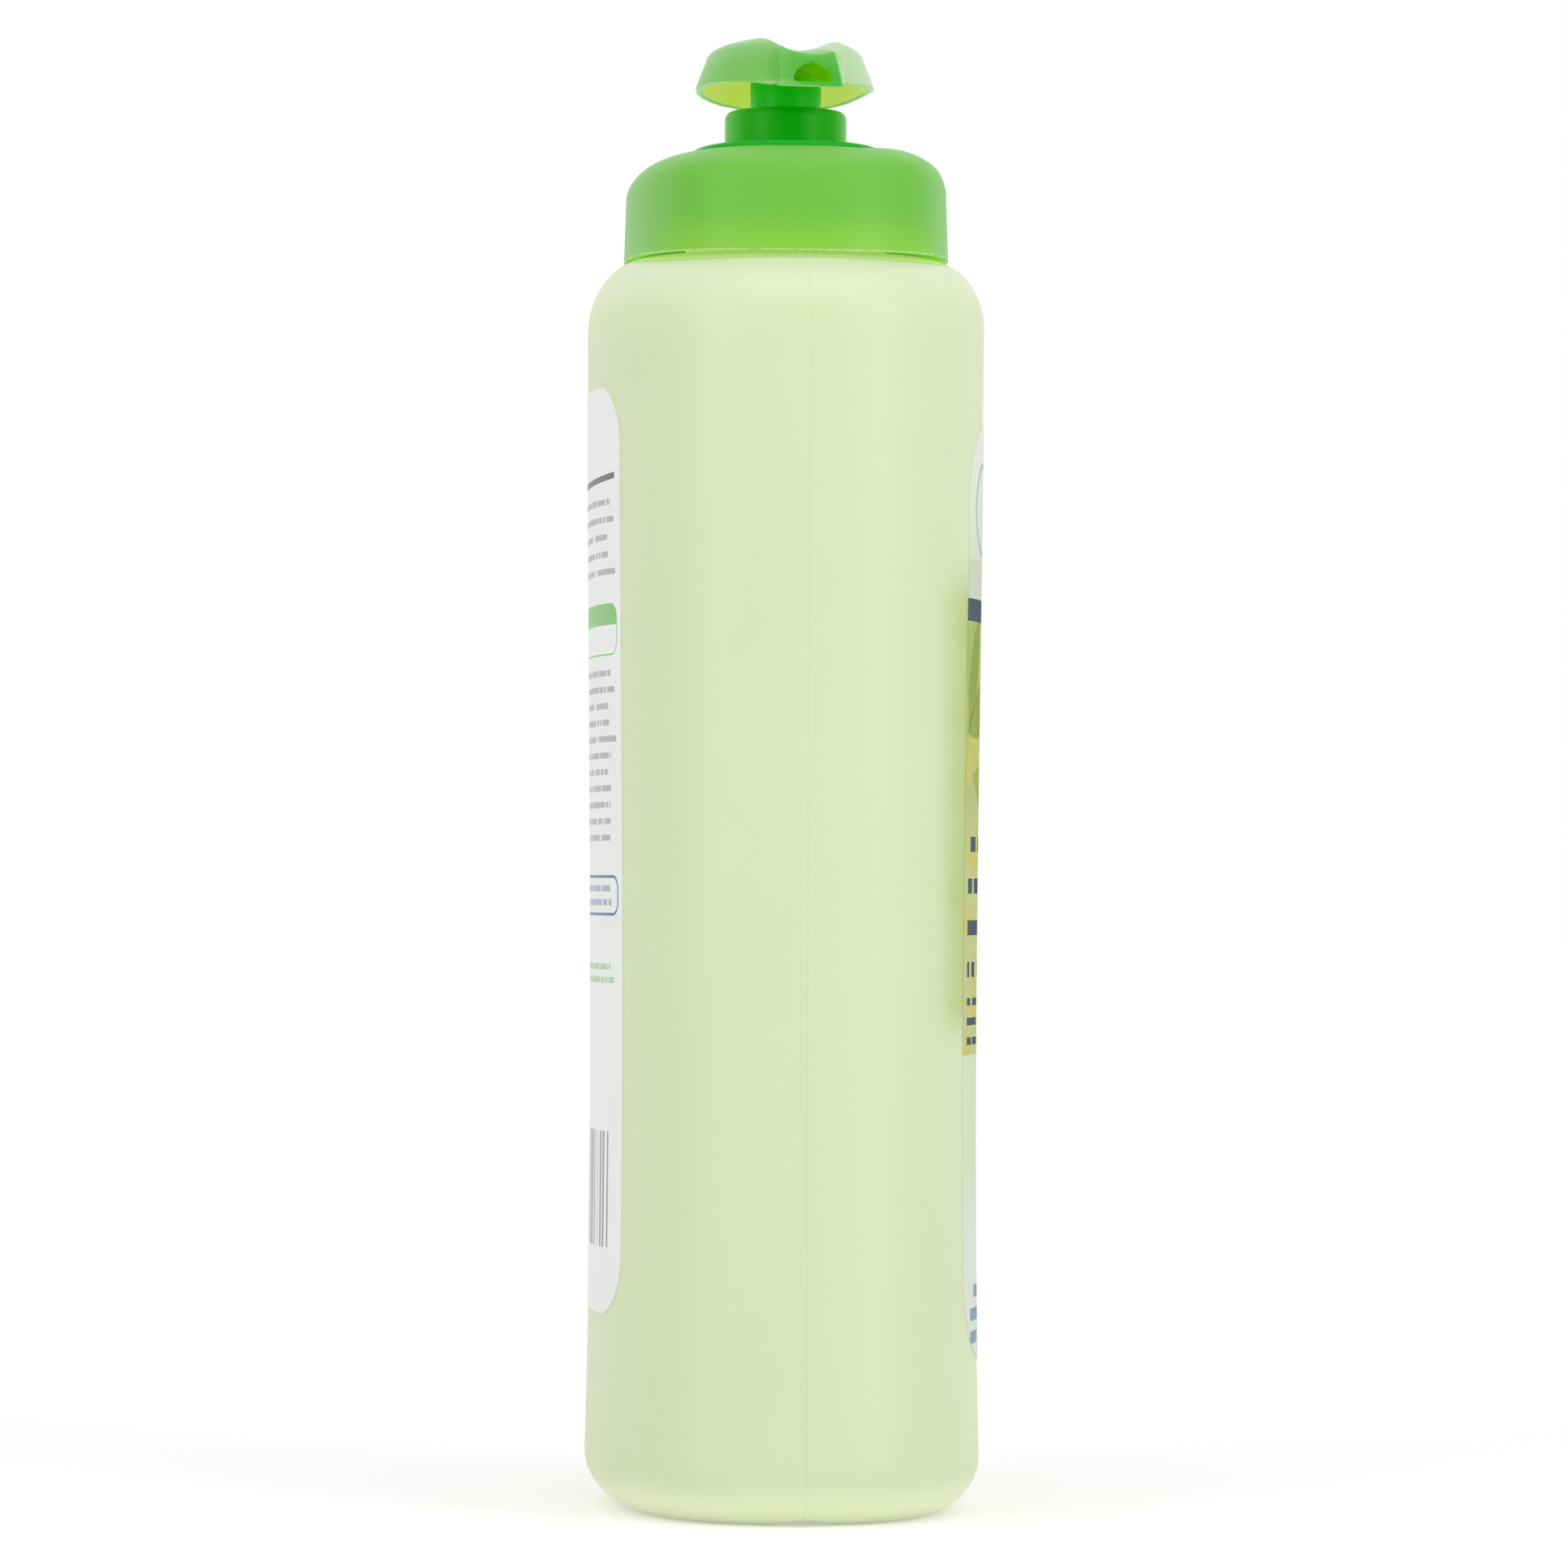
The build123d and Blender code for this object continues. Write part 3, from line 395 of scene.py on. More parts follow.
def closure_side(inset, top, count):
    """Wall from the rim to the start of the round, then the round, where the half sizes draw in by
    ROUND_OUT (1 - cos t)."""
    start = top - ROUND_UP
    share = np.linspace(0, 1, 8)
    drawn = inset + CLOSURE_DRAFT * share
    side = rows_of(CLOSURE[0] - drawn, CLOSURE[1] - drawn, CLOSURE[2], RIM_Z + (start - RIM_Z) * share)
    cosine, sine = arc(count)
    drawn = CLOSURE_DRAFT + inset + (ROUND_OUT - inset) * (1 - cosine)
    turned = rows_of(CLOSURE[0] - drawn, CLOSURE[1] - drawn, CLOSURE[2], start + ROUND_UP * sine)
    return np.vstack([side, turned[1:]])


def joined(parts):
    """One set of points and faces out of several (points, faces) pairs, with the faces renumbered."""
    starts = np.cumsum([0] + [len(p.reshape(-1, 3)) for p, _ in parts[:-1]])
    return (
        np.vstack([p.reshape(-1, 3) for p, _ in parts]),
        np.vstack([f + start for (_, f), start in zip(parts, starts)]),
    )


levels = np.vstack([
    closure_side(0, CLOSURE_TOP, 28),
    rows_of([19.0, BARREL_RADIUS, BARREL_RADIUS], [16.0, BARREL_RADIUS, BARREL_RADIUS], [2.2, 2, 2],
            [CLOSURE_TOP, CLOSURE_TOP, CEILING]),
    closure_side(CLOSURE_WALL, CEILING, 14)[::-1],
])
shell = oval(levels, TURNS)
fall = rim_arc - np.sqrt(rim_arc ** 2 - shell[..., 0] ** 2)
wall_share = np.clip((CLOSURE_TOP - ROUND_UP - shell[..., 2]) / (CLOSURE_TOP - ROUND_UP - RIM_Z), 0, 1)
shell[..., 2] -= fall * wall_share
skirt_radii = [SKIRT_BORE, SKIRT_RADIUS, SKIRT_RADIUS, SKIRT_BORE, SKIRT_BORE, SNAP_RADIUS, SNAP_RADIUS]
skirt_heights = [SKIRT_BOTTOM, SKIRT_BOTTOM, SKIRT_TOP, SKIRT_TOP, SNAP_HIGH, SNAP_HIGH, SNAP_LOW]
skirt_levels = rows_of(skirt_radii, skirt_radii, 2.0, skirt_heights)
skirt = oval(skirt_levels, TURNS[::3])
rib_turns = np.radians(18 + 36 * np.arange(10))
rib_levels = closure_side(CLOSURE_WALL - 0.5, CEILING + 0.5, 12)[7:-3]
ribs = []
for turn in rib_turns:
    out, across = np.array([np.cos(turn), np.sin(turn), 0]), np.array([-np.sin(turn), np.cos(turn), 0])
    a, b, p = rib_levels[:, 0], rib_levels[:, 1], rib_levels[:, 2]
    outer = (np.abs(np.cos(turn) / a) ** p + np.abs(np.sin(turn) / b) ** p) ** (-1 / p)
    used = outer > RIB_INNER + 0.3
    outer, height = outer[used, None, None], rib_levels[used, 3][:, None, None]
    inner = np.full_like(outer, RIB_INNER)
    reach = np.concatenate([inner, outer, outer, inner], axis=1)
    aside = np.array([-RIB_HALF, -RIB_HALF, RIB_HALF, RIB_HALF])[None, :, None]
    corners = reach * out + aside * across + height * np.array([0.0, 0.0, 1.0])
    last = 4 * (len(height) - 1)
    caps = np.array([(0, 1, 2, 3), (last, last + 1, last + 2, last + 3)])
    ribs.append((corners, np.vstack([grid_faces(len(height), 4, False), caps])))
closure_points, closure_faces = joined([
    (shell, grid_faces(len(levels), len(TURNS), True)),
    (skirt, grid_faces(len(skirt_levels), len(TURNS[::3]), True)),
    *ribs,
])
at_right, at_top = ease(-closure_points[:, 1], 8.0, 18.0), ease(closure_points[:, 2], 210.5, 213.5)
closure_points[:, 2] += RIGHT_RISE * at_right * at_top
closure = mesh_of("closure_skin", closure_points, closure_faces, 50.0)
print("closure", len(closure.data.vertices), "points, closed", is_closed(closure))

# %% [markdown]
# ## Collar
# The dark green collar is one moulding: a plug that snaps into the pump housing, a low oval deck on the
# closure, and the chimney that guides the head. Its level table goes round the section once and closes on
# itself.

# %% Collar skin
DECK = (20.2, 15.3, 2.3)
DECK_TOP, DECK_EDGE = 217.5, 0.7
CHIMNEY_RADIUS, CHIMNEY_TOP, CHIMNEY_EDGE = 9.8, 224.0, 1.3
GUIDE_BORE, PLUG_RADIUS, PLUG_BOTTOM = 5.9, 8.8, 204.3
BEAD, BEAD_Z = 0.3, 206.7

cosine, sine = arc(10)
deck_side = rows_of(
    DECK[0] - DECK_EDGE * (1 - cosine), DECK[1] - DECK_EDGE * (1 - cosine), DECK[2],
    DECK_TOP - DECK_EDGE * (1 - sine),
)
chimney_radii = CHIMNEY_RADIUS - CHIMNEY_EDGE * (1 - cosine)
chimney_edge = rows_of(chimney_radii, chimney_radii, 2.0, CHIMNEY_TOP - CHIMNEY_EDGE * (1 - sine))
root_radii = CHIMNEY_RADIUS + 0.4 * (1 - sine)
chimney_root = rows_of(root_radii, root_radii, 2.0, DECK_TOP + 0.4 * (1 - cosine))


def ring(radius, z):
    """One round level."""
    return rows_of(radius, radius, 2.0, z)


levels = np.vstack([
    ring(PLUG_RADIUS, PLUG_BOTTOM),
    ring(PLUG_RADIUS, BEAD_Z - BEAD), ring(PLUG_RADIUS + BEAD, BEAD_Z), ring(PLUG_RADIUS, BEAD_Z + BEAD),
    ring(PLUG_RADIUS, CLOSURE_TOP), rows_of(*DECK, CLOSURE_TOP), deck_side,
    chimney_root, chimney_edge, ring(GUIDE_BORE + 0.3, CHIMNEY_TOP), ring(GUIDE_BORE, CHIMNEY_TOP - 0.3),
    ring(GUIDE_BORE, PLUG_BOTTOM),
])
collar = mesh_of("collar_skin", oval(levels, TURNS[::2]), grid_faces(len(levels), len(TURNS[::2]), True), 50.0)
print("collar", len(collar.data.vertices), "points, closed", is_closed(collar))

# %% [markdown]
# ## Pump head
# The head is the hardest form: an oval skirt that flares to its rim, a low dome, a thumb trough pressed in
# from above, a square spout under it with a D-shaped hole, and the tube that runs down into the pump. The
# CAD solid has all of that with knife-sharp edges. A moulding has soft ones, so a copy of its mesh is
# rebuilt in small even cells and then relaxed, which rounds every edge by a few tenths of a millimetre.
# Then it settles as a thin moulding does. The two wings sag: every point above 229.5 mm sinks by a share of
# its height over that line, which grows from nothing at the trough's middle to its full value 7 mm to
# either side. The trough's crest sinks 0.4 mm, the right side half a millimetre more than the left, and the
# spout's channel climbs inwards from its lip to the tube. Each of these is a depth times smooth shares, so
# nothing shows a step.

# %% Head skin
CELL = 0.27


def spots_of(mesh):
    """Every vertex's place, as rows of x, y and z in metres."""
    spots = np.empty(len(mesh.vertices) * 3)
    mesh.vertices.foreach_get("co", spots)
    return spots.reshape(-1, 3)


def move_to(mesh, spots):
    """Puts every vertex in its new place."""
    mesh.vertices.foreach_set("co", spots.ravel())
    mesh.update()


def rebuilt(node, name, cell, rounds):
    """A copy of a CAD node in even cells. Each round moves every point halfway to its neighbours' mean, then a
    little back, which keeps the piece from shrinking."""
    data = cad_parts[node].data.copy()
    work = bmesh.new()
    work.from_mesh(data)
    bmesh.ops.remove_doubles(work, verts=work.verts, dist=2e-6)
    work.to_mesh(data)
    work.free()
    piece = bpy.data.objects.new(name, data)
    bpy.context.scene.collection.objects.link(piece)
    remesh = piece.modifiers.new("even cells", "REMESH")
    remesh.mode = "VOXEL"
    remesh.voxel_size = cell * MM
    even = bpy.data.meshes.new_from_object(piece.evaluated_get(bpy.context.evaluated_depsgraph_get()))
    piece.modifiers.clear()
    piece.data = even
    even.name = name
    count = len(even.vertices)
    spots = spots_of(even)
    pairs = np.empty(len(even.edges) * 2, np.int64)
    even.edges.foreach_get("vertices", pairs)
    pairs = pairs.reshape(-1, 2)
    both_ways = np.vstack([pairs, pairs[:, ::-1]])
    neighbours = np.bincount(both_ways[:, 0], minlength=count)[:, None]
    for step in (0.5, -0.52) * rounds:
        sums = [np.bincount(both_ways[:, 0], spots[both_ways[:, 1], k], count) for k in range(3)]
        spots = spots + step * (np.stack(sums, axis=1) / neighbours - spots)
    move_to(even, spots)
    even.shade_smooth()
    return piece


head = rebuilt("head", "head_skin", CELL, 6)
SPOUT_TURN = math.radians(186.6)
WING_START, LEFT_SAG, RIGHT_SAG = 229.5, 0.125, 0.17
RIM_HALVES, RIM_POWER = (20.4, 14.7), 2.1
SPOUT_BOTTOM, SPOUT_FRONT = 225.7, 20.6
TROUGH_SAG, RIGHT_DROP, FAR_RIM_DROP, LEFT_DIP, RIGHT_NARROWING = 0.4, 0.55, 0.35, 0.35, 0.45
LIP_LIFT, CHANNEL_LIFT, CHANNEL_SLOPE = 0.25, 0.75, 0.12


def settle(spots):
    """How far each point of the head rises from the sharp CAD form, and how far it moves across, in mm: the
    channel's lift less the sag of wings, trough, right side and left dip. along runs out to the spout's tip
    and across to its side."""
    x, y, z = spots.T
    along = x * math.cos(SPOUT_TURN) + y * math.sin(SPOUT_TURN)
    across = y * math.cos(SPOUT_TURN) - x * math.sin(SPOUT_TURN)
    out = np.hypot(x, y)
    side = np.abs(across)
    wings = np.where(across > 0, RIGHT_SAG, LEFT_SAG) * ease(side, 2.0, 7.0) * np.maximum(z - WING_START, 0)
    trough = TROUGH_SAG * ease(side, 6.5, 2.5) * ease(z, 230.5, 233.5)
    far_rim = FAR_RIM_DROP * ease(across, 2.0, 9.0) * ease(along, 2.0, -12.0) * ease(z, 231.0, 227.0)
    right = ease(out, 7.0, 10.0) * (RIGHT_DROP * ease(across, 4.0, 13.0) + far_rim)
    within = (np.abs(along) / RIM_HALVES[0]) ** RIM_POWER + (side / RIM_HALVES[1]) ** RIM_POWER
    lift = LIP_LIFT + CHANNEL_LIFT * ease(within, 0.87, 0.78)
    lift += CHANNEL_SLOPE * np.clip(SPOUT_FRONT - 1.3 - along, 0, 14)
    lift *= np.interp(z, [SPOUT_BOTTOM - 4.2, SPOUT_BOTTOM, SPOUT_BOTTOM + 5.2], [0, 1, 0])
    lift *= ease(side, 5.9, 5.35) * ease(along, -1.0, 1.5) * ease(out, 4.6, 5.4)
    near = ease(along, 8.0, 12.0) * ease(z, 229.5, 227.5)
    dip = LEFT_DIP * ease(across, -10.5, -5.6) * ease(across, -4.8, -5.6) * near
    return lift - wings - trough - right - dip, -RIGHT_NARROWING * ease(across, 5.0, 12.0)


spots = spots_of(head.data)
upward, sideways = settle(spots / MM)
spots[:, 2] += upward * MM
spots[:, 0] -= sideways * MM * math.sin(SPOUT_TURN)
spots[:, 1] += sideways * MM * math.cos(SPOUT_TURN)
move_to(head.data, spots)
print("head", len(head.data.vertices), "points,", len(head.data.polygons), "faces")

# %% [markdown]
# ## Labels
# Each label is a thin printed film on the curved wall. Its outline is a tall panel with round corners, so
# its half width at a height d above either end is w - r + sqrt(r^2 - (r - d)^2) while d is under the corner
# radius r. Every point lies on the wall's own oval, so the film bends with the bottle. Its outer face
# stands 0.12 mm proud and its inner face is sunk a hair into the wall, so that no dark gap shows round its
# edge.

# %% Label films
SUNK, PROUD = -0.05, 0.12


def film(name, half_width, bottom, top, corner, side):
    """A closed film: outer and inner face at y = side (b + gap) (1 - |x / (a + gap)|^p)^(1/p), with x = s
    times the half width."""
    bend = corner * (1 - np.cos(np.linspace(0, np.pi / 2, 18)))
    z = np.concatenate([bottom + bend, np.linspace(bottom + corner, top - corner, 90)[1:-1], top - bend[::-1]])
    drop = np.clip(np.minimum(z - bottom, top - z), 0, corner)
    width = half_width - corner + np.sqrt(corner ** 2 - (corner - drop) ** 2)
    s = np.linspace(-1, 1, 72)
    x = width[:, None] * s[None, :]
    height = np.broadcast_to(z[:, None], x.shape)
    faces = []
    for gap in (PROUD, SUNK):
        a, b = (BODY[k] - pinch(z)[:, None] + gap for k in (0, 1))
        y = side * b * (1 - np.abs(x / a) ** BODY[2]) ** (1 / BODY[2])
        faces.append(np.stack([x, y, height], axis=-1))
    loops = np.concatenate([faces[0], faces[1][:, ::-1]], axis=1)
    rows, columns = loops.shape[:2]
    k = np.arange(columns // 2 - 1)
    ends = [
        start + np.stack([k, k + 1, columns - 2 - k, columns - 1 - k], axis=-1)
        for start in (0, (rows - 1) * columns)
    ]
    return mesh_of(name, loops, np.vstack([grid_faces(rows, columns, False), *ends]), 50.0)


front_label = film("front_label_film", 25.4, 24.6, 173.0, 12.0, -1)
back_label = film("back_label_film", 22.6, 31.8, 178.4, 9.0, 1)
for piece in (front_label, back_label):
    print(piece.name, len(piece.data.vertices), "points, closed", is_closed(piece))

# %% [markdown]
# ## Finishes
# All the plastics share two effects. Moulded skin is the faint unevenness of a surface that cooled against
# steel: a fine grain for the bump, and slow clouds for the colour and gloss. The coordinates are the
# object's own, in millimetres, so the pattern has its true size and stays on the piece.

# %% Shader groups
def new_group(name, inputs, outputs):
    """An empty node group with named number inputs (name to value) and outputs (name to socket kind)."""
    group = bpy.data.node_groups.new(name, "ShaderNodeTree")
    for label, value in inputs.items():
        socket = group.interface.new_socket(label, in_out="INPUT", socket_type="NodeSocketFloat")
        socket.default_value = value
    for label, kind in outputs.items():
        group.interface.new_socket(label, in_out="OUTPUT", socket_type=kind)
    return group, group.nodes.new("NodeGroupInput").outputs, group.nodes.new("NodeGroupOutput")


def spots_in_mm(tree):
    """The piece's own coordinates in millimetres, as a vector and as X, Y and Z."""
    coordinates = tree.nodes.new("ShaderNodeTexCoord").outputs["Object"]
    feeds = {0: coordinates, "Scale": 1 / MM}
    scaled = place(tree, "ShaderNodeVectorMath", feeds, operation="SCALE").outputs[0]
    parts = place(tree, "ShaderNodeSeparateXYZ", {0: scaled}).outputs
    return scaled, parts["X"], parts["Y"], parts["Z"]


def clouds(tree, vector, scale, detail=2.0):
    """Soft noise from 0 to 1 with features about 1 / scale millimetres across."""
    return place(tree, "ShaderNodeTexNoise", {"Vector": vector, "Scale": scale, "Detail": detail}).outputs[0]


def ramp(tree, value, low, high):
    """0 below low, 1 above high and a smooth step between. low may be the larger, which turns it round."""
    feeds = {"Value": value, "From Min": low, "From Max": high}
    return place(tree, "ShaderNodeMapRange", feeds, interpolation_type="SMOOTHSTEP").outputs[0]


def tint(tree, share, under, over):
    """The colour under, covered by the colour over in that share."""
    mixed = place(tree, "ShaderNodeMix", {0: share, 6: under, 7: over}, data_type="RGBA")
    return mixed.outputs[2]


skin_group, inside_skin, skin_end = new_group(
    "moulded skin", {"Grain": 1.2, "Cloud": 0.06}, {"Height": "NodeSocketFloat", "Cloud": "NodeSocketFloat"}
)
spots = spots_in_mm(skin_group)[0]
grain = clouds(skin_group, spots, inside_skin["Grain"], 3.0)
drift = clouds(skin_group, spots, inside_skin["Cloud"], 2.0)
skin_group.links.new(grain, skin_end.inputs["Height"])
skin_group.links.new(drift, skin_end.inputs["Cloud"])
print("group:", skin_group.name)

# %% [markdown]
# Both labels are printed with two marks: a filled box with round corners, and rows of short dashes that
# read as lines of small type from a step away. Each is a group that gives 1 on the ink and 0 off it, so one
# colour over another is only a mix by that mask.

# %% Print groups
box_group, box_in, box_end = new_group(
    "print box",
    {"Across": 0, "Up": 0, "Centre Across": 0, "Centre Up": 0, "Half Width": 5, "Half Height": 2, "Corner": 1},
    {"Ink": "NodeSocketFloat"},
)


def beyond(tree, spot, centre, half, corner):
    """How far a coordinate lies past the straight part of a side: |spot - centre| - half + corner."""
    away = magnitude(tree, calc(tree, "SUBTRACT", spot, centre))
    return calc(tree, "ADD", calc(tree, "SUBTRACT", away, half), corner)


side = beyond(box_group, box_in["Across"], box_in["Centre Across"], box_in["Half Width"], box_in["Corner"])
end = beyond(box_group, box_in["Up"], box_in["Centre Up"], box_in["Half Height"], box_in["Corner"])
past_side, past_end = (calc(box_group, "MAXIMUM", value, 0.0) for value in (side, end))
squares = (calc(box_group, "POWER", value, 2.0) for value in (past_side, past_end))
reach = calc(box_group, "SQRT", calc(box_group, "ADD", *squares))
within = calc(box_group, "MINIMUM", calc(box_group, "MAXIMUM", side, end), 0.0)
edge = calc(box_group, "SUBTRACT", calc(box_group, "ADD", reach, within), box_in["Corner"])
box_group.links.new(ramp(box_group, edge, 0.04, -0.04), box_end.inputs["Ink"])

rows_group, rows_in, rows_end = new_group(
    "print rows",
    {
        "Across": 0, "Up": 0, "Left": -10, "Right": 10, "Top": 10, "Rows": 4, "Pitch": 3, "Height": 1,
        "Dash": 1.4, "Ragged": 3,
    },
    {"Ink": "NodeSocketFloat"},
)
down = calc(rows_group, "DIVIDE", calc(rows_group, "SUBTRACT", rows_in["Top"], rows_in["Up"]), rows_in["Pitch"])
row = calc(rows_group, "FLOOR", down)
row_share = calc(rows_group, "DIVIDE", rows_in["Height"], rows_in["Pitch"])
in_row = calc(rows_group, "LESS_THAN", calc(rows_group, "FRACT", down), row_share)
started = calc(rows_group, "GREATER_THAN", down, 0.0)
not_over = calc(rows_group, "LESS_THAN", down, rows_in["Rows"])
short = place(rows_group, "ShaderNodeTexWhiteNoise", {"W": row}, noise_dimensions="1D").outputs["Value"]
last = calc(rows_group, "SUBTRACT", rows_in["Right"], product(rows_group, short, rows_in["Ragged"]))
inside_left = calc(rows_group, "GREATER_THAN", rows_in["Across"], rows_in["Left"])
inside_right = calc(rows_group, "LESS_THAN", rows_in["Across"], last)
word = calc(rows_group, "FLOOR", calc(rows_group, "DIVIDE", rows_in["Across"], rows_in["Dash"]))
which = place(rows_group, "ShaderNodeCombineXYZ", {0: word, 1: row, 2: 0.0}).outputs[0]
gap = place(rows_group, "ShaderNodeTexWhiteNoise", {"Vector": which}, noise_dimensions="2D").outputs["Value"]
inked = calc(rows_group, "GREATER_THAN", gap, 0.16)
ink = product(rows_group, in_row, started, not_over, inside_left, inside_right, inked)
rows_group.links.new(ink, rows_end.inputs["Ink"])
print("groups:", [g.name for g in bpy.data.node_groups])

# %% [markdown]
# ## Plastic finishes
# Each plastic is one Principled shader. Its colour comes from masks over the piece, its gloss and bump from
# the moulded skin. A little light also passes into soft plastics and comes out beside where it went in,
# which is what subsurface does: it keeps a pale bottle from looking like painted wood.

# %% Plastic helper
BLACK = (0.0, 0.0, 0.0, 1.0)


def plastic(
    name, roughness, depth=0.0, reach=(1.0, 1.0, 1.0), scale=0.002,
    bump=0.02, grain=1.2, cloud=0.06, spread=0.06, sheen=0.5,
):
    """A plastic material. depth is its subsurface share, reach and scale how far light goes in, and sheen its
    mirror level. Returns the material, its tree, its shader, the cloud mask, x, y and z in millimetres, and
    the bump node."""
    material = bpy.data.materials.new(name)
    material.use_nodes = True
    tree = material.node_tree
    tree.nodes.clear()
    shader = place(tree, "ShaderNodeBsdfPrincipled", {
        "Subsurface Weight": depth, "Subsurface Radius": reach, "Subsurface Scale": scale,
        "Specular IOR Level": sheen,
    })
    place(tree, "ShaderNodeOutputMaterial", {"Surface": shader.outputs[0]})
    skin = place(tree, "ShaderNodeGroup", {"Grain": grain, "Cloud": cloud}, node_tree=skin_group)
    gloss = calc(tree, "MULTIPLY_ADD", skin.outputs["Cloud"], spread, roughness - spread / 2)
    tree.links.new(gloss, shader.inputs["Roughness"])
    relief = place(tree, "ShaderNodeBump", {"Height": skin.outputs["Height"], "Distance": MM, "Strength": bump})
    tree.links.new(relief.outputs[0], shader.inputs["Normal"])
    return material, tree, shader, skin.outputs["Cloud"], spots_in_mm(tree)[1:], relief


def glow_with(tree, shader, colour):
    """Lets a colour shine out of the plastic, for the daylight that comes through its thin parts."""
    tree.links.new(colour, shader.inputs["Emission Color"])
    shader.inputs["Emission Strength"].default_value = 1.0


def facing(tree, x, y):
    """The piece's own surface direction as three numbers, and n_x x + n_y y, above 0 on outer walls."""
    own = tree.nodes.new("ShaderNodeTexCoord").outputs["Normal"]
    parts = place(tree, "ShaderNodeSeparateXYZ", {0: own}).outputs
    return parts, calc(tree, "ADD", product(tree, parts[0], x), product(tree, parts[1], y))


def dress(piece, material):
    """Puts one material on the whole piece."""
    piece.data.materials.clear()
    piece.data.materials.append(material)
    piece.data.update()


def paint(piece, material, tree, shader, colour):
    """Gives the plastic its colour, then puts it on the whole piece."""
    tree.links.new(colour, shader.inputs["Base Color"])
    dress(piece, material)
    print(material.name, "has", len(tree.nodes), "nodes")


print("helpers ready, with", len(bpy.data.materials), "material so far")

# %% [markdown]
# ### Bottle
# The blown bottle is a pale yellow-green whose tone drifts a little in slow clouds. Its shoulder is painted
# paler, painted light from above, and its foot is painted paler and glows a little, painted light bounced up
# from the floor. A hair-thin seam from the mould runs up both ends. Beside the front label, the ink on its back
# shows through the wall as a soft olive shadow, blotchy as the picture is. Under the closure the shoulder is
# painted greener and glows green: painted light through the closure, in place of the shade in the gap there.

# %% Bottle finish
PICTURE_LOW, PICTURE_HIGH = 73.0, 151.0

bottle_resin, tree, shader, cloud, (x, y, z), relief = plastic(
    "blown bottle", 0.42, depth=0.25, reach=(1.0, 1.0, 0.6), scale=0.003, bump=0.03, grain=1.6, cloud=0.035
)
side = magnitude(tree, x)
colour = tint(tree, cloud, screen(214, 228, 182), screen(220, 232, 189))
# Painted light: the shoulder is painted paler, as if lit from above, and below the foot is painted paler, as if
# lit from the floor.
colour = tint(tree, ramp(tree, z, 189.0, 199.0), colour, screen(226, 236, 200))
colour = tint(tree, ramp(tree, z, 9.0, 1.0), colour, screen(236, 244, 206))
beside = product(tree, ramp(tree, side, 37.0, 26.0), ramp(tree, y, -17.0, -24.0))
along = product(
    tree, ramp(tree, z, PICTURE_LOW, PICTURE_LOW + 9), ramp(tree, z, PICTURE_HIGH + 2, PICTURE_HIGH - 9)
)
height_only = place(tree, "ShaderNodeCombineXYZ", {0: 0.0, 1: 0.0, 2: z}).outputs[0]
blotch = calc(tree, "MULTIPLY_ADD", clouds(tree, height_only, 0.085, 3.0), 0.9, 0.5)
colour = tint(tree, product(tree, beside, along, blotch), colour, screen(180, 200, 116))
seam = product(tree, ramp(tree, magnitude(tree, y), 0.22, 0.05), calc(tree, "GREATER_THAN", side, 16.5))
colour = tint(tree, product(tree, seam, 0.14), colour, screen(196, 211, 165))
outline = calc(tree, "ADD", *(
    calc(tree, "POWER", calc(tree, "DIVIDE", magnitude(tree, spot), half), CLOSURE[2])
    for spot, half in ((x, CLOSURE[0]), (y, CLOSURE[1]))
))
# Painted light: under the closure's rim the shoulder is painted greener and glows green, light through the
# closure in place of the shade in the gap.
covered = product(tree, ramp(tree, outline, 1.06, 0.97), ramp(tree, z, 194.0, 196.0))
colour = tint(tree, covered, colour, screen(178, 216, 121))
# Painted light: the foot glows a little, standing in for light bounced up from the floor.
glow = tint(tree, product(tree, ramp(tree, z, 8.0, 1.5), 0.13), BLACK, screen(227, 236, 196))
glow = tint(tree, product(tree, covered, ramp(tree, outline, 1.03, 0.93)), glow, (0.29, 0.36, 0.12, 1.0))
glow_with(tree, shader, glow)
ridge = {"Height": seam, "Distance": 0.03 * MM, "Strength": 1.0, "Normal": relief.outputs[0]}
tree.links.new(place(tree, "ShaderNodeBump", ridge).outputs[0], shader.inputs["Normal"])
paint(bottle, bottle_resin, tree, shader, colour)

# %% [markdown]
# ### Closure
# The closure, the collar and the head are one green in three strengths. The closure is thin and lets the
# bottle's pale shoulder glow through near its rim, so it turns yellow there. Its rim is a little frayed
# where the mould's two halves met, which a noise along a narrow band gives. Its wall glows inside, so that
# no dark gap shows under it.

# %% Closure finish
closure_green, tree, shader, cloud, (x, y, z), relief = plastic(
    "closure green", 0.42, depth=0.2, reach=(0.7, 1.0, 0.3), scale=0.002,
    bump=0.03, grain=2.2, cloud=0.05, sheen=0.3,
)
colour = tint(tree, cloud, screen(104, 188, 58), screen(115, 192, 66))
colour = tint(tree, ramp(tree, z, 206.0, 199.5), colour, screen(134, 202, 60))
# Painted reflection: the broad sides are painted paler and greyer, as the white surroundings reflect there at a
# grazing angle.
sides = ramp(tree, magnitude(tree, y), 17.0, 25.0)
colour = tint(tree, product(tree, sides, 0.7), colour, screen(126, 192, 96))
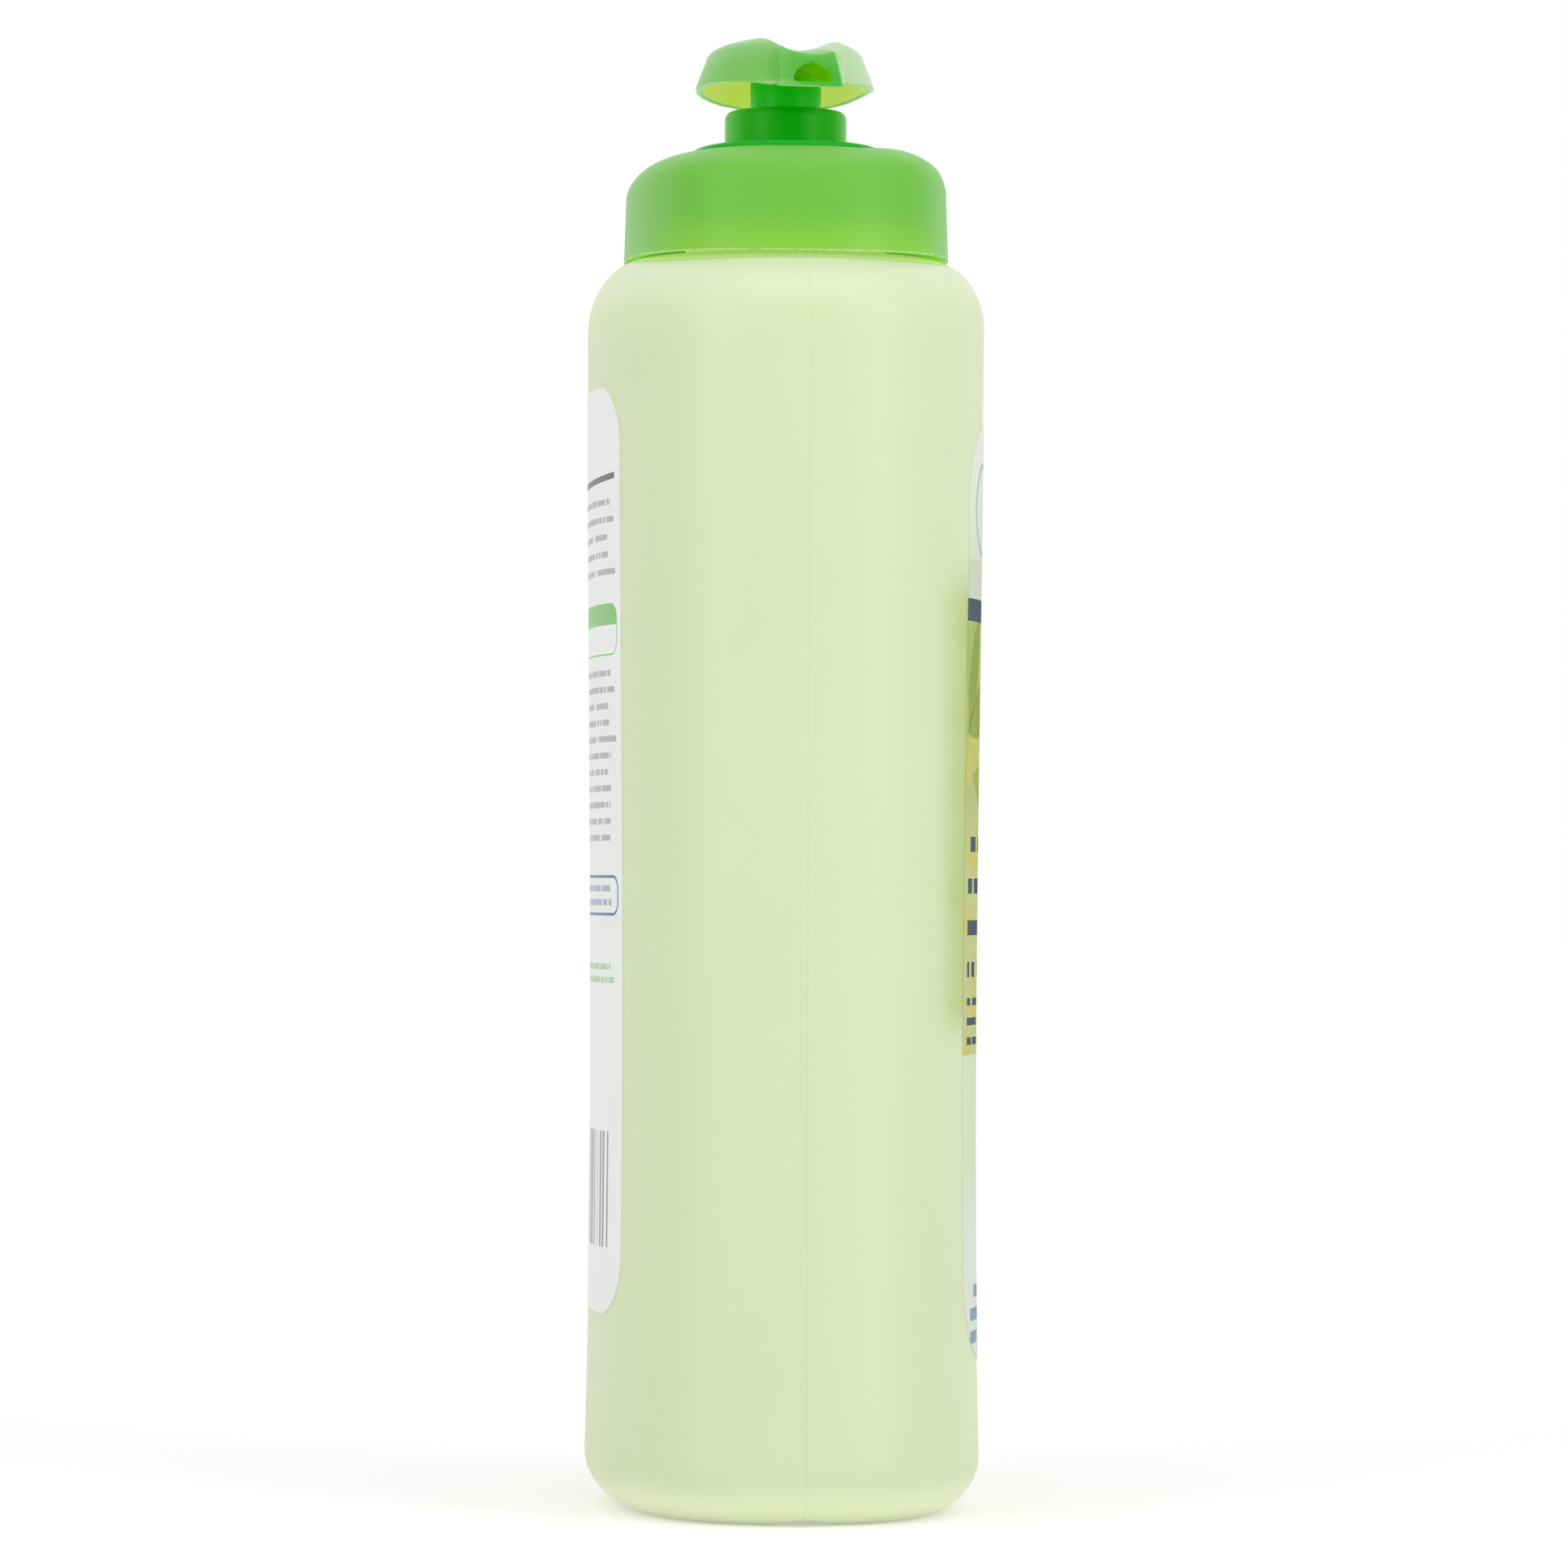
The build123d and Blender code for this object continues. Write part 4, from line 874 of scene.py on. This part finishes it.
# Painted highlight: the top round is painted paler.
colour = tint(tree, ramp(tree, z, 212.0, 216.0), colour, screen(122, 195, 84))
bend = product(tree, x, x, 1.0 / (2 * rim_arc))
above_rim = calc(tree, "ADD", z, calc(tree, "SUBTRACT", bend, RIM_Z))
ragged = ramp(tree, clouds(tree, spots_in_mm(tree)[0], 0.9, 4.0), 0.3, 0.6)
frayed = product(tree, ramp(tree, above_rim, 0.34, 0.12), ragged, 0.7)
colour = tint(tree, frayed, colour, screen(196, 226, 160))
outward = facing(tree, x, y)[1]
inside_wall = product(tree, calc(tree, "LESS_THAN", outward, -8.0), ramp(tree, above_rim, 8.0, 0.0), 0.7)
hidden = calc(tree, "MAXIMUM", product(tree, ramp(tree, above_rim, 0.25, 0.0), 0.12), inside_wall)
glow_with(tree, shader, tint(tree, hidden, BLACK, screen(120, 190, 60)))
paint(closure, closure_green, tree, shader, colour)

# %% [markdown]
# ### Collar
# The collar is thick and glossy and nearly pure green. Its middle is the deepest, partly where the stem shows
# through it and partly painted shade where the surface reflects little, and its two sides are painted paler,
# a painted reflection of the white surroundings. A fifth of its colour comes out as light, because plastic
# this clear has no dark side.

# %% Collar finish
collar_green, tree, shader, cloud, (x, y, z), relief = plastic(
    "collar green", 0.22, bump=0.012, grain=1.0, cloud=0.08, spread=0.04, sheen=0.07
)
side = magnitude(tree, y)
colour = tint(tree, cloud, screen(26, 152, 12), screen(36, 160, 20))
# Partly the stem seen through and partly painted shade: the middle is painted deepest.
colour = tint(tree, ramp(tree, side, 4.5, 1.0), colour, screen(0, 150, 0))
# Painted reflection: the sides are painted paler, as the white surroundings reflect at a grazing angle.
colour = tint(tree, ramp(tree, side, 6.5, 9.5), colour, screen(78, 174, 62))
colour = tint(tree, ramp(tree, z, 218.3, 217.4), colour, screen(28, 160, 40))
glow_with(tree, shader, tint(tree, 0.22, BLACK, colour))
paint(collar, collar_green, tree, shader, colour)

# %% [markdown]
# ### Head
# The head is thin and cloudy outside, a bright yellow-green inside its skirt, and deep green where it is
# solid, in the tube and round the spout's channel. The yellow-green inside the skirt is painted light that
# comes through the thin plastic, and it glows. The top, the skirt's lower rim, the strip of the rim that faces
# down and the right wing are painted paler, painted light as well, and the solid parts and the spout's hole
# glow, the hole lighter to the right. Each of these is a region of the one moulding, so each is a mask made
# from the head's own directions, along its spout and across it, and from the way the surface faces.

# %% Head finish
TUBE_OUT, HALF_CHANNEL, HALF_HOLE, HOLE_END = 5.7, 5.7, 3.25, 20.3

head_green, tree, shader, cloud, (x, y, z), relief = plastic(
    "head green", 0.34, depth=0.35, reach=(0.7, 1.0, 0.3), scale=0.003,
    bump=0.02, grain=1.0, cloud=0.1, spread=0.08, sheen=0.2,
)
cosine, sine = math.cos(SPOUT_TURN), math.sin(SPOUT_TURN)
along = calc(tree, "ADD", product(tree, x, cosine), product(tree, y, sine))
across = calc(tree, "SUBTRACT", product(tree, y, cosine), product(tree, x, sine))
side = magnitude(tree, across)
out = calc(tree, "SQRT", calc(tree, "ADD", product(tree, x, x), product(tree, y, y)))

colour = tint(tree, cloud, screen(112, 187, 80), screen(126, 192, 98))
# Painted light: the top is painted paler, and the skirt's lower rim paler still.
colour = tint(tree, ramp(tree, z, 229.5, 234.8), colour, screen(146, 197, 126))
colour = tint(tree, ramp(tree, z, 227.2, 226.5), colour, screen(160, 212, 140))
# Painted light: the right wing is painted paler, light from the white behind coming through the thin plastic.
past_edge = calc(tree, "ADD", across, calc(tree, "MULTIPLY_ADD", z, 0.25, -0.25 * 227.0 - 4.5))
right_side = ramp(tree, past_edge, -0.25, 0.35)
wing = calc(tree, "MAXIMUM", right_side, ramp(tree, across, -4.6, -6.6))
paler = product(tree, right_side, ramp(tree, along, -6.0, 4.0), 0.85)
colour = tint(tree, paler, colour, screen(188, 214, 172))

directions, outward = facing(tree, x, y)
slope = calc(tree, "ADD", calc(tree, "DIVIDE", outward, out), product(tree, directions[2], 0.6))
inner = product(tree, ramp(tree, slope, -0.05, -0.3), ramp(tree, out, 6.2, 7.0))
chute = product(
    tree, ramp(tree, side, HALF_CHANNEL + 0.5, HALF_CHANNEL), ramp(tree, z, 229.6, 229.0),
    ramp(tree, along, 17.2, 16.6), ramp(tree, along, 3.0, 5.0),
)
facing_down = ramp(tree, directions[2], -0.45, -0.75)
lip = product(tree, facing_down, ramp(tree, z, 229.5, 229.0), calc(tree, "SUBTRACT", 1.0, chute))
inner = calc(tree, "MAXIMUM", product(tree, inner, calc(tree, "SUBTRACT", 1.0, lip)), chute)

spout = product(
    tree, calc(tree, "SUBTRACT", 1.0, wing), ramp(tree, along, 15.0, 18.5), ramp(tree, z, 235.0, 232.0),
    calc(tree, "MULTIPLY_ADD", ramp(tree, across, -1.0, -5.0), -0.5, 1.0),
)
spout_green = tint(tree, ramp(tree, z, 228.0, 232.5), screen(74, 178, 50), screen(102, 186, 82))
colour = tint(tree, spout, colour, spout_green)
# Painted light: inside the skirt the plastic is painted a bright yellow-green, light coming through it, and the
# strip of the rim that faces down is painted paler, a painted highlight.
colour = tint(tree, inner, colour, screen(172, 212, 84))
colour = tint(tree, lip, colour, screen(150, 202, 128))

tube = product(tree, ramp(tree, out, 6.6, 6.0), ramp(tree, z, 231.0, 228.5))
in_line = product(tree, chute, ramp(tree, magnitude(tree, y), 6.1, 5.6))
solid = calc(tree, "MAXIMUM", tube, in_line)
colour = tint(tree, solid, colour, screen(4, 156, 0))
off_tube = calc(tree, "GREATER_THAN", magnitude(tree, calc(tree, "SUBTRACT", out, TUBE_OUT)), 0.25)
bore = product(
    tree, calc(tree, "LESS_THAN", side, HALF_HOLE), calc(tree, "LESS_THAN", along, HOLE_END),
    calc(tree, "GREATER_THAN", along, 3.0), off_tube,
    calc(tree, "LESS_THAN", z, 230.4), calc(tree, "GREATER_THAN", z, 226.8),
)
colour = tint(tree, bore, colour, screen(50, 158, 0))

# Painted light: the whole head glows faintly, the inside of the skirt, the downward strip and the solid parts
# more, and the spout's hole glows lighter to the right.
glow = tint(tree, inner, tint(tree, 0.03, BLACK, colour), (0.33, 0.31, 0.06, 1.0))
glow = tint(tree, product(tree, lip, 0.3), glow, screen(150, 202, 128))
glow = tint(tree, solid, glow, (0.0, 0.17, 0.0, 1.0))
bore_glow = tint(tree, ramp(tree, across, -2.5, 3.0), (0.01, 0.12, 0.0, 1.0), (0.07, 0.24, 0.0, 1.0))
glow_with(tree, shader, tint(tree, bore, glow, bore_glow))
paint(head, head_green, tree, shader, colour)

# %% [markdown]
# ### Labels
# The two labels share a few marks: a box, a box's outline, rows of dashes, and a leaf. Each helper below
# places one of them at a spot in millimetres and gives its mask, so that a label reads as a list of marks
# and colours.

# %% Print helpers
def mark(tree, group, **values):
    """The mask of one print group, with its sockets set by name: half_width sets Half Width."""
    feeds = {name.replace("_", " ").title(): value for name, value in values.items()}
    return place(tree, "ShaderNodeGroup", feeds, node_tree=group).outputs["Ink"]


def box_print(tree, across, up, centre, half, corner=0.0):
    """Mask of a filled box: centre and half size in millimetres."""
    return mark(
        tree, box_group, across=across, up=up, centre_across=centre[0], centre_up=centre[1],
        half_width=half[0], half_height=half[1], corner=corner,
    )


def outline_print(tree, across, up, centre, half, corner, line):
    """Mask of a box's outline: the box less the same box drawn in by the line's width."""
    outer = box_print(tree, across, up, centre, half, corner)
    inner = box_print(tree, across, up, centre, (half[0] - line, half[1] - line), corner - line)
    return calc(tree, "SUBTRACT", outer, inner)


def rows_print(tree, across, up, left, right, top, rows, pitch, height, dash=1.4, ragged=3.0):
    """Mask of rows of dashes that end raggedly."""
    return mark(
        tree, rows_group, across=across, up=up, left=left, right=right, top=top, rows=rows,
        pitch=pitch, height=height, dash=dash, ragged=ragged,
    )


def leaf_print(tree, across, up, centre, length, width, turn):
    """Mask of a leaf: where two discs of radius r = (length^2 + width^2) / (4 width) overlap."""
    radius = (length ** 2 + width ** 2) / (4 * width)
    shift = radius - width / 2
    normal = (-math.sin(turn), math.cos(turn))
    dx = calc(tree, "SUBTRACT", across, centre[0])
    dy = calc(tree, "SUBTRACT", up, centre[1])
    inside = []
    for way in (1, -1):
        ex = calc(tree, "SUBTRACT", dx, way * shift * normal[0])
        ey = calc(tree, "SUBTRACT", dy, way * shift * normal[1])
        reach = calc(tree, "SQRT", calc(tree, "ADD", product(tree, ex, ex), product(tree, ey, ey)))
        inside.append(ramp(tree, reach, radius + 0.05, radius - 0.05))
    return product(tree, *inside)


print("marks: box, box outline, rows of dashes, leaf")

# %% [markdown]
# The front label is a clear film: where it is bare the bottle shows through it, a little whiter. Three
# rings stand at the top. Below a dark bar lies a field of leaves, which fades to a plain olive where two
# blocks of dashes stand.

# %% Front label print
label_clear, tree, shader, cloud, (x, y, z), relief = plastic(
    "clear film print", 0.5, bump=0.01, grain=0.6, spread=0.04, sheen=0.0
)
FIELD_TOP, RING_HEIGHT, RING_RADIUS = 141.5, 159.5, 7.6
SLATE = screen(92, 102, 110)
LEAVES = (
    (-21, 134, 20, 6, 70, (120, 150, 60)), (-14, 128, 24, 8, 20, (96, 140, 52)),
    (-3, 133, 26, 8, -25, (150, 176, 84)), (8, 127, 26, 9, 30, (104, 148, 56)),
    (19, 133, 24, 8, -50, (132, 160, 66)), (-22, 119, 16, 5, -30, (206, 200, 120)),
    (-10, 115, 24, 7, -10, (128, 166, 70)), (4, 117, 20, 6, 60, (210, 204, 132)),
    (17, 118, 24, 7, 10, (118, 156, 62)),
)

colour = tint(tree, cloud, screen(217, 228, 198), screen(223, 232, 205))
colour = tint(tree, ramp(tree, z, 147.0, 173.0), colour, screen(232, 238, 226))
colour = tint(tree, ramp(tree, z, 60.0, 40.0), colour, screen(226, 232, 222))
for centre in (-14.5, 0.0, 14.5):
    ring = outline_print(tree, x, z, (centre, RING_HEIGHT), (RING_RADIUS, RING_RADIUS), RING_RADIUS, 1.1)
    colour = tint(tree, product(tree, ring, 0.75), colour, screen(160, 184, 206))
field = tint(tree, ramp(tree, z, 95.0, 138.0), screen(200, 207, 152), screen(172, 192, 116))
ochre = ramp(tree, clouds(tree, spots_in_mm(tree)[0], 0.16, 3.0), 0.45, 0.62)
field = tint(tree, ochre, field, screen(208, 202, 120))
for leaf_x, leaf_z, length, width, turn, green in LEAVES:
    leaf = leaf_print(tree, x, z, (leaf_x, leaf_z), length, width, math.radians(turn))
    field = tint(tree, product(tree, leaf, 0.5), field, screen(*green))
picture = box_print(tree, x, z, (0.0, 0.5 * (PICTURE_LOW + FIELD_TOP)), (26.0, 0.5 * (FIELD_TOP - PICTURE_LOW)))
colour = tint(tree, picture, colour, field)
colour = tint(tree, box_print(tree, x, z, (0, 143.3), (26, 1.8)), colour, screen(92, 104, 112))
haze = product(tree, ramp(tree, z, 151.6, 151.0), calc(tree, "GREATER_THAN", z, 145.1), 0.75)
colour = tint(tree, haze, colour, screen(206, 214, 196))
for top, rows, pitch, height, dash in ((107.5, 4, 6.6, 2.4, 1.5), (82.0, 3, 3.1, 1.2, 0.8)):
    colour = tint(tree, rows_print(tree, x, z, -23.8, 23, top, rows, pitch, height, dash, 14), colour, SLATE)
low_rows = rows_print(tree, x, z, -22.0, 4.0, 36.5, 3, 3.6, 2.0, 1.9, 8)
colour = tint(tree, low_rows, colour, screen(150, 172, 190))
paint(front_label, label_clear, tree, shader, colour)

# %% [markdown]
# The back label is white. It carries a thin rule, two blocks of small dashes, a panel with a green head, a
# blue outlined box, two short green rows, and a block of upright bars, whose widths come from one row of
# random numbers. It is read from behind, so its across runs the other way.

# %% Back label print
label_white, tree, shader, cloud, (x, y, z), relief = plastic(
    "white film print", 0.4, bump=0.01, grain=0.6, spread=0.04, sheen=0.25
)
GREY, GREEN, BLUE = screen(112, 114, 116), screen(134, 196, 116), screen(92, 118, 170)
PANEL = ((0, 140.0), (21.3, 4.1), 2.4)

across = product(tree, x, -1.0)
colour = tint(tree, cloud, screen(236, 239, 235), screen(241, 243, 240))
lift = calc(tree, "SUBTRACT", z, product(tree, x, x, 0.0015))
colour = tint(tree, box_print(tree, across, lift, (0, 163.6), (20.6, 0.5)), colour, screen(108, 108, 110))
for top, rows, pitch in ((160.6, 5, 2.75), (133.6, 11, 2.6)):
    marks = rows_print(tree, across, z, -20.5, 20.8, top, rows, pitch, 0.95, 0.62, 4.2)
    colour = tint(tree, product(tree, marks, 0.58), colour, GREY)
colour = tint(tree, outline_print(tree, across, z, *PANEL, 0.25), colour, GREEN)
panel_head = product(tree, box_print(tree, across, z, *PANEL), calc(tree, "GREATER_THAN", z, 140.7))
colour = tint(tree, panel_head, colour, GREEN)
colour = tint(tree, outline_print(tree, across, z, (4.0, 98.0), (17.3, 3.2), 2.2, 0.45), colour, BLUE)
for left, right, top, pitch, height, dash, ragged, share, ink in (
    (-9, 19.4, 99.6, 2.2, 1.0, 0.7, 3, 0.6, BLUE), (-6, 20.0, 87.2, 2.1, 0.95, 0.62, 4, 0.7, GREEN),
):
    small = rows_print(tree, across, z, left, right, top, 2, pitch, height, dash, ragged)
    colour = tint(tree, product(tree, small, share), colour, ink)
bar = calc(tree, "FLOOR", product(tree, across, 2.6))
stripe = place(tree, "ShaderNodeTexWhiteNoise", {"W": bar}, noise_dimensions="1D").outputs["Value"]
block = box_print(tree, across, z, (6.5, 51.5), (10.5, 9.2))
bars = product(tree, block, calc(tree, "GREATER_THAN", stripe, 0.5))
colour = tint(tree, bars, colour, screen(150, 152, 152))
paint(back_label, label_white, tree, shader, colour)

# %% [markdown]
# ## Inside pieces
# The lotion, the pump and its springs stay as the CAD nodes, because nothing of their shape shows from
# outside. Each still gets its own finish, for anyone who takes the bottle apart.

# %% Inner finishes
def inner_plastic(name, pale, deep, roughness, **settings):
    """A plastic whose colour drifts between two shades."""
    material, tree, shader, cloud, _, _ = plastic(name, roughness, **settings)
    tree.links.new(tint(tree, cloud, deep, pale), shader.inputs["Base Color"])
    return material, tree, shader


cream = inner_plastic(
    "white cream", screen(246, 245, 238), screen(240, 239, 230), 0.32, depth=0.4, bump=0.05, grain=0.3
)[0]
pump_white = inner_plastic("pump white", screen(240, 241, 239), screen(232, 234, 231), 0.4)[0]
pump_natural = inner_plastic(
    "natural plastic", screen(233, 234, 228), screen(223, 225, 218), 0.45, depth=0.3
)[0]
foam = inner_plastic("gasket foam", screen(242, 242, 238), screen(230, 230, 225), 0.8, bump=0.3, grain=6.0)[0]
tube_clear, tree, tube_shader = inner_plastic("clear tube", screen(238, 241, 238), screen(228, 233, 229), 0.25)
tube_shader.inputs["Alpha"].default_value = 0.6


def metal(name, pale, deep, roughness, grain):
    """A bare metal with a drawn or polished grain."""
    material, tree, shader = inner_plastic(name, pale, deep, roughness, bump=0.02, grain=grain)
    shader.inputs["Metallic"].default_value = 1.0
    return material


wire_steel = metal("spring steel", screen(206, 208, 210), screen(180, 183, 186), 0.28, 5.0)
ball_steel = metal("polished steel", screen(226, 228, 230), screen(214, 216, 219), 0.12, 1.0)
INNER = {
    "lotion": cream, "stem": pump_white, "piston": pump_natural, "pump_housing": pump_white,
    "ball_cage": pump_natural, "neck_gasket": foam, "dip_tube": tube_clear, "spring": wire_steel,
    "inlet_ball": ball_steel, "outlet_ball": ball_steel,
}
for node, material in INNER.items():
    dress(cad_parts[node], material)
    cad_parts[node].data.shade_smooth()
    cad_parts[node].data.set_sharp_from_angle(angle=math.radians(35))
print(len(INNER), "inner nodes dressed")

# %% [markdown]
# ## Standing in for the frame
# Each new piece rides on the body that carries its node and takes that node's place.

# %% Ride and replace
PIECES = {
    "bottle": (bottle, "bottle_body", "bottle_resin"),
    "closure": (closure, "bottle_body", "closure_green"),
    "collar": (collar, "bottle_body", "collar_green"),
    "head": (head, "pump_head", "head_green"),
    "front_label": (front_label, "bottle_body", "label_clear"),
    "back_label": (back_label, "bottle_body", "label_white"),
}
for node, (piece, body, slot) in PIECES.items():
    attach(piece, body)
    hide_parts(node)
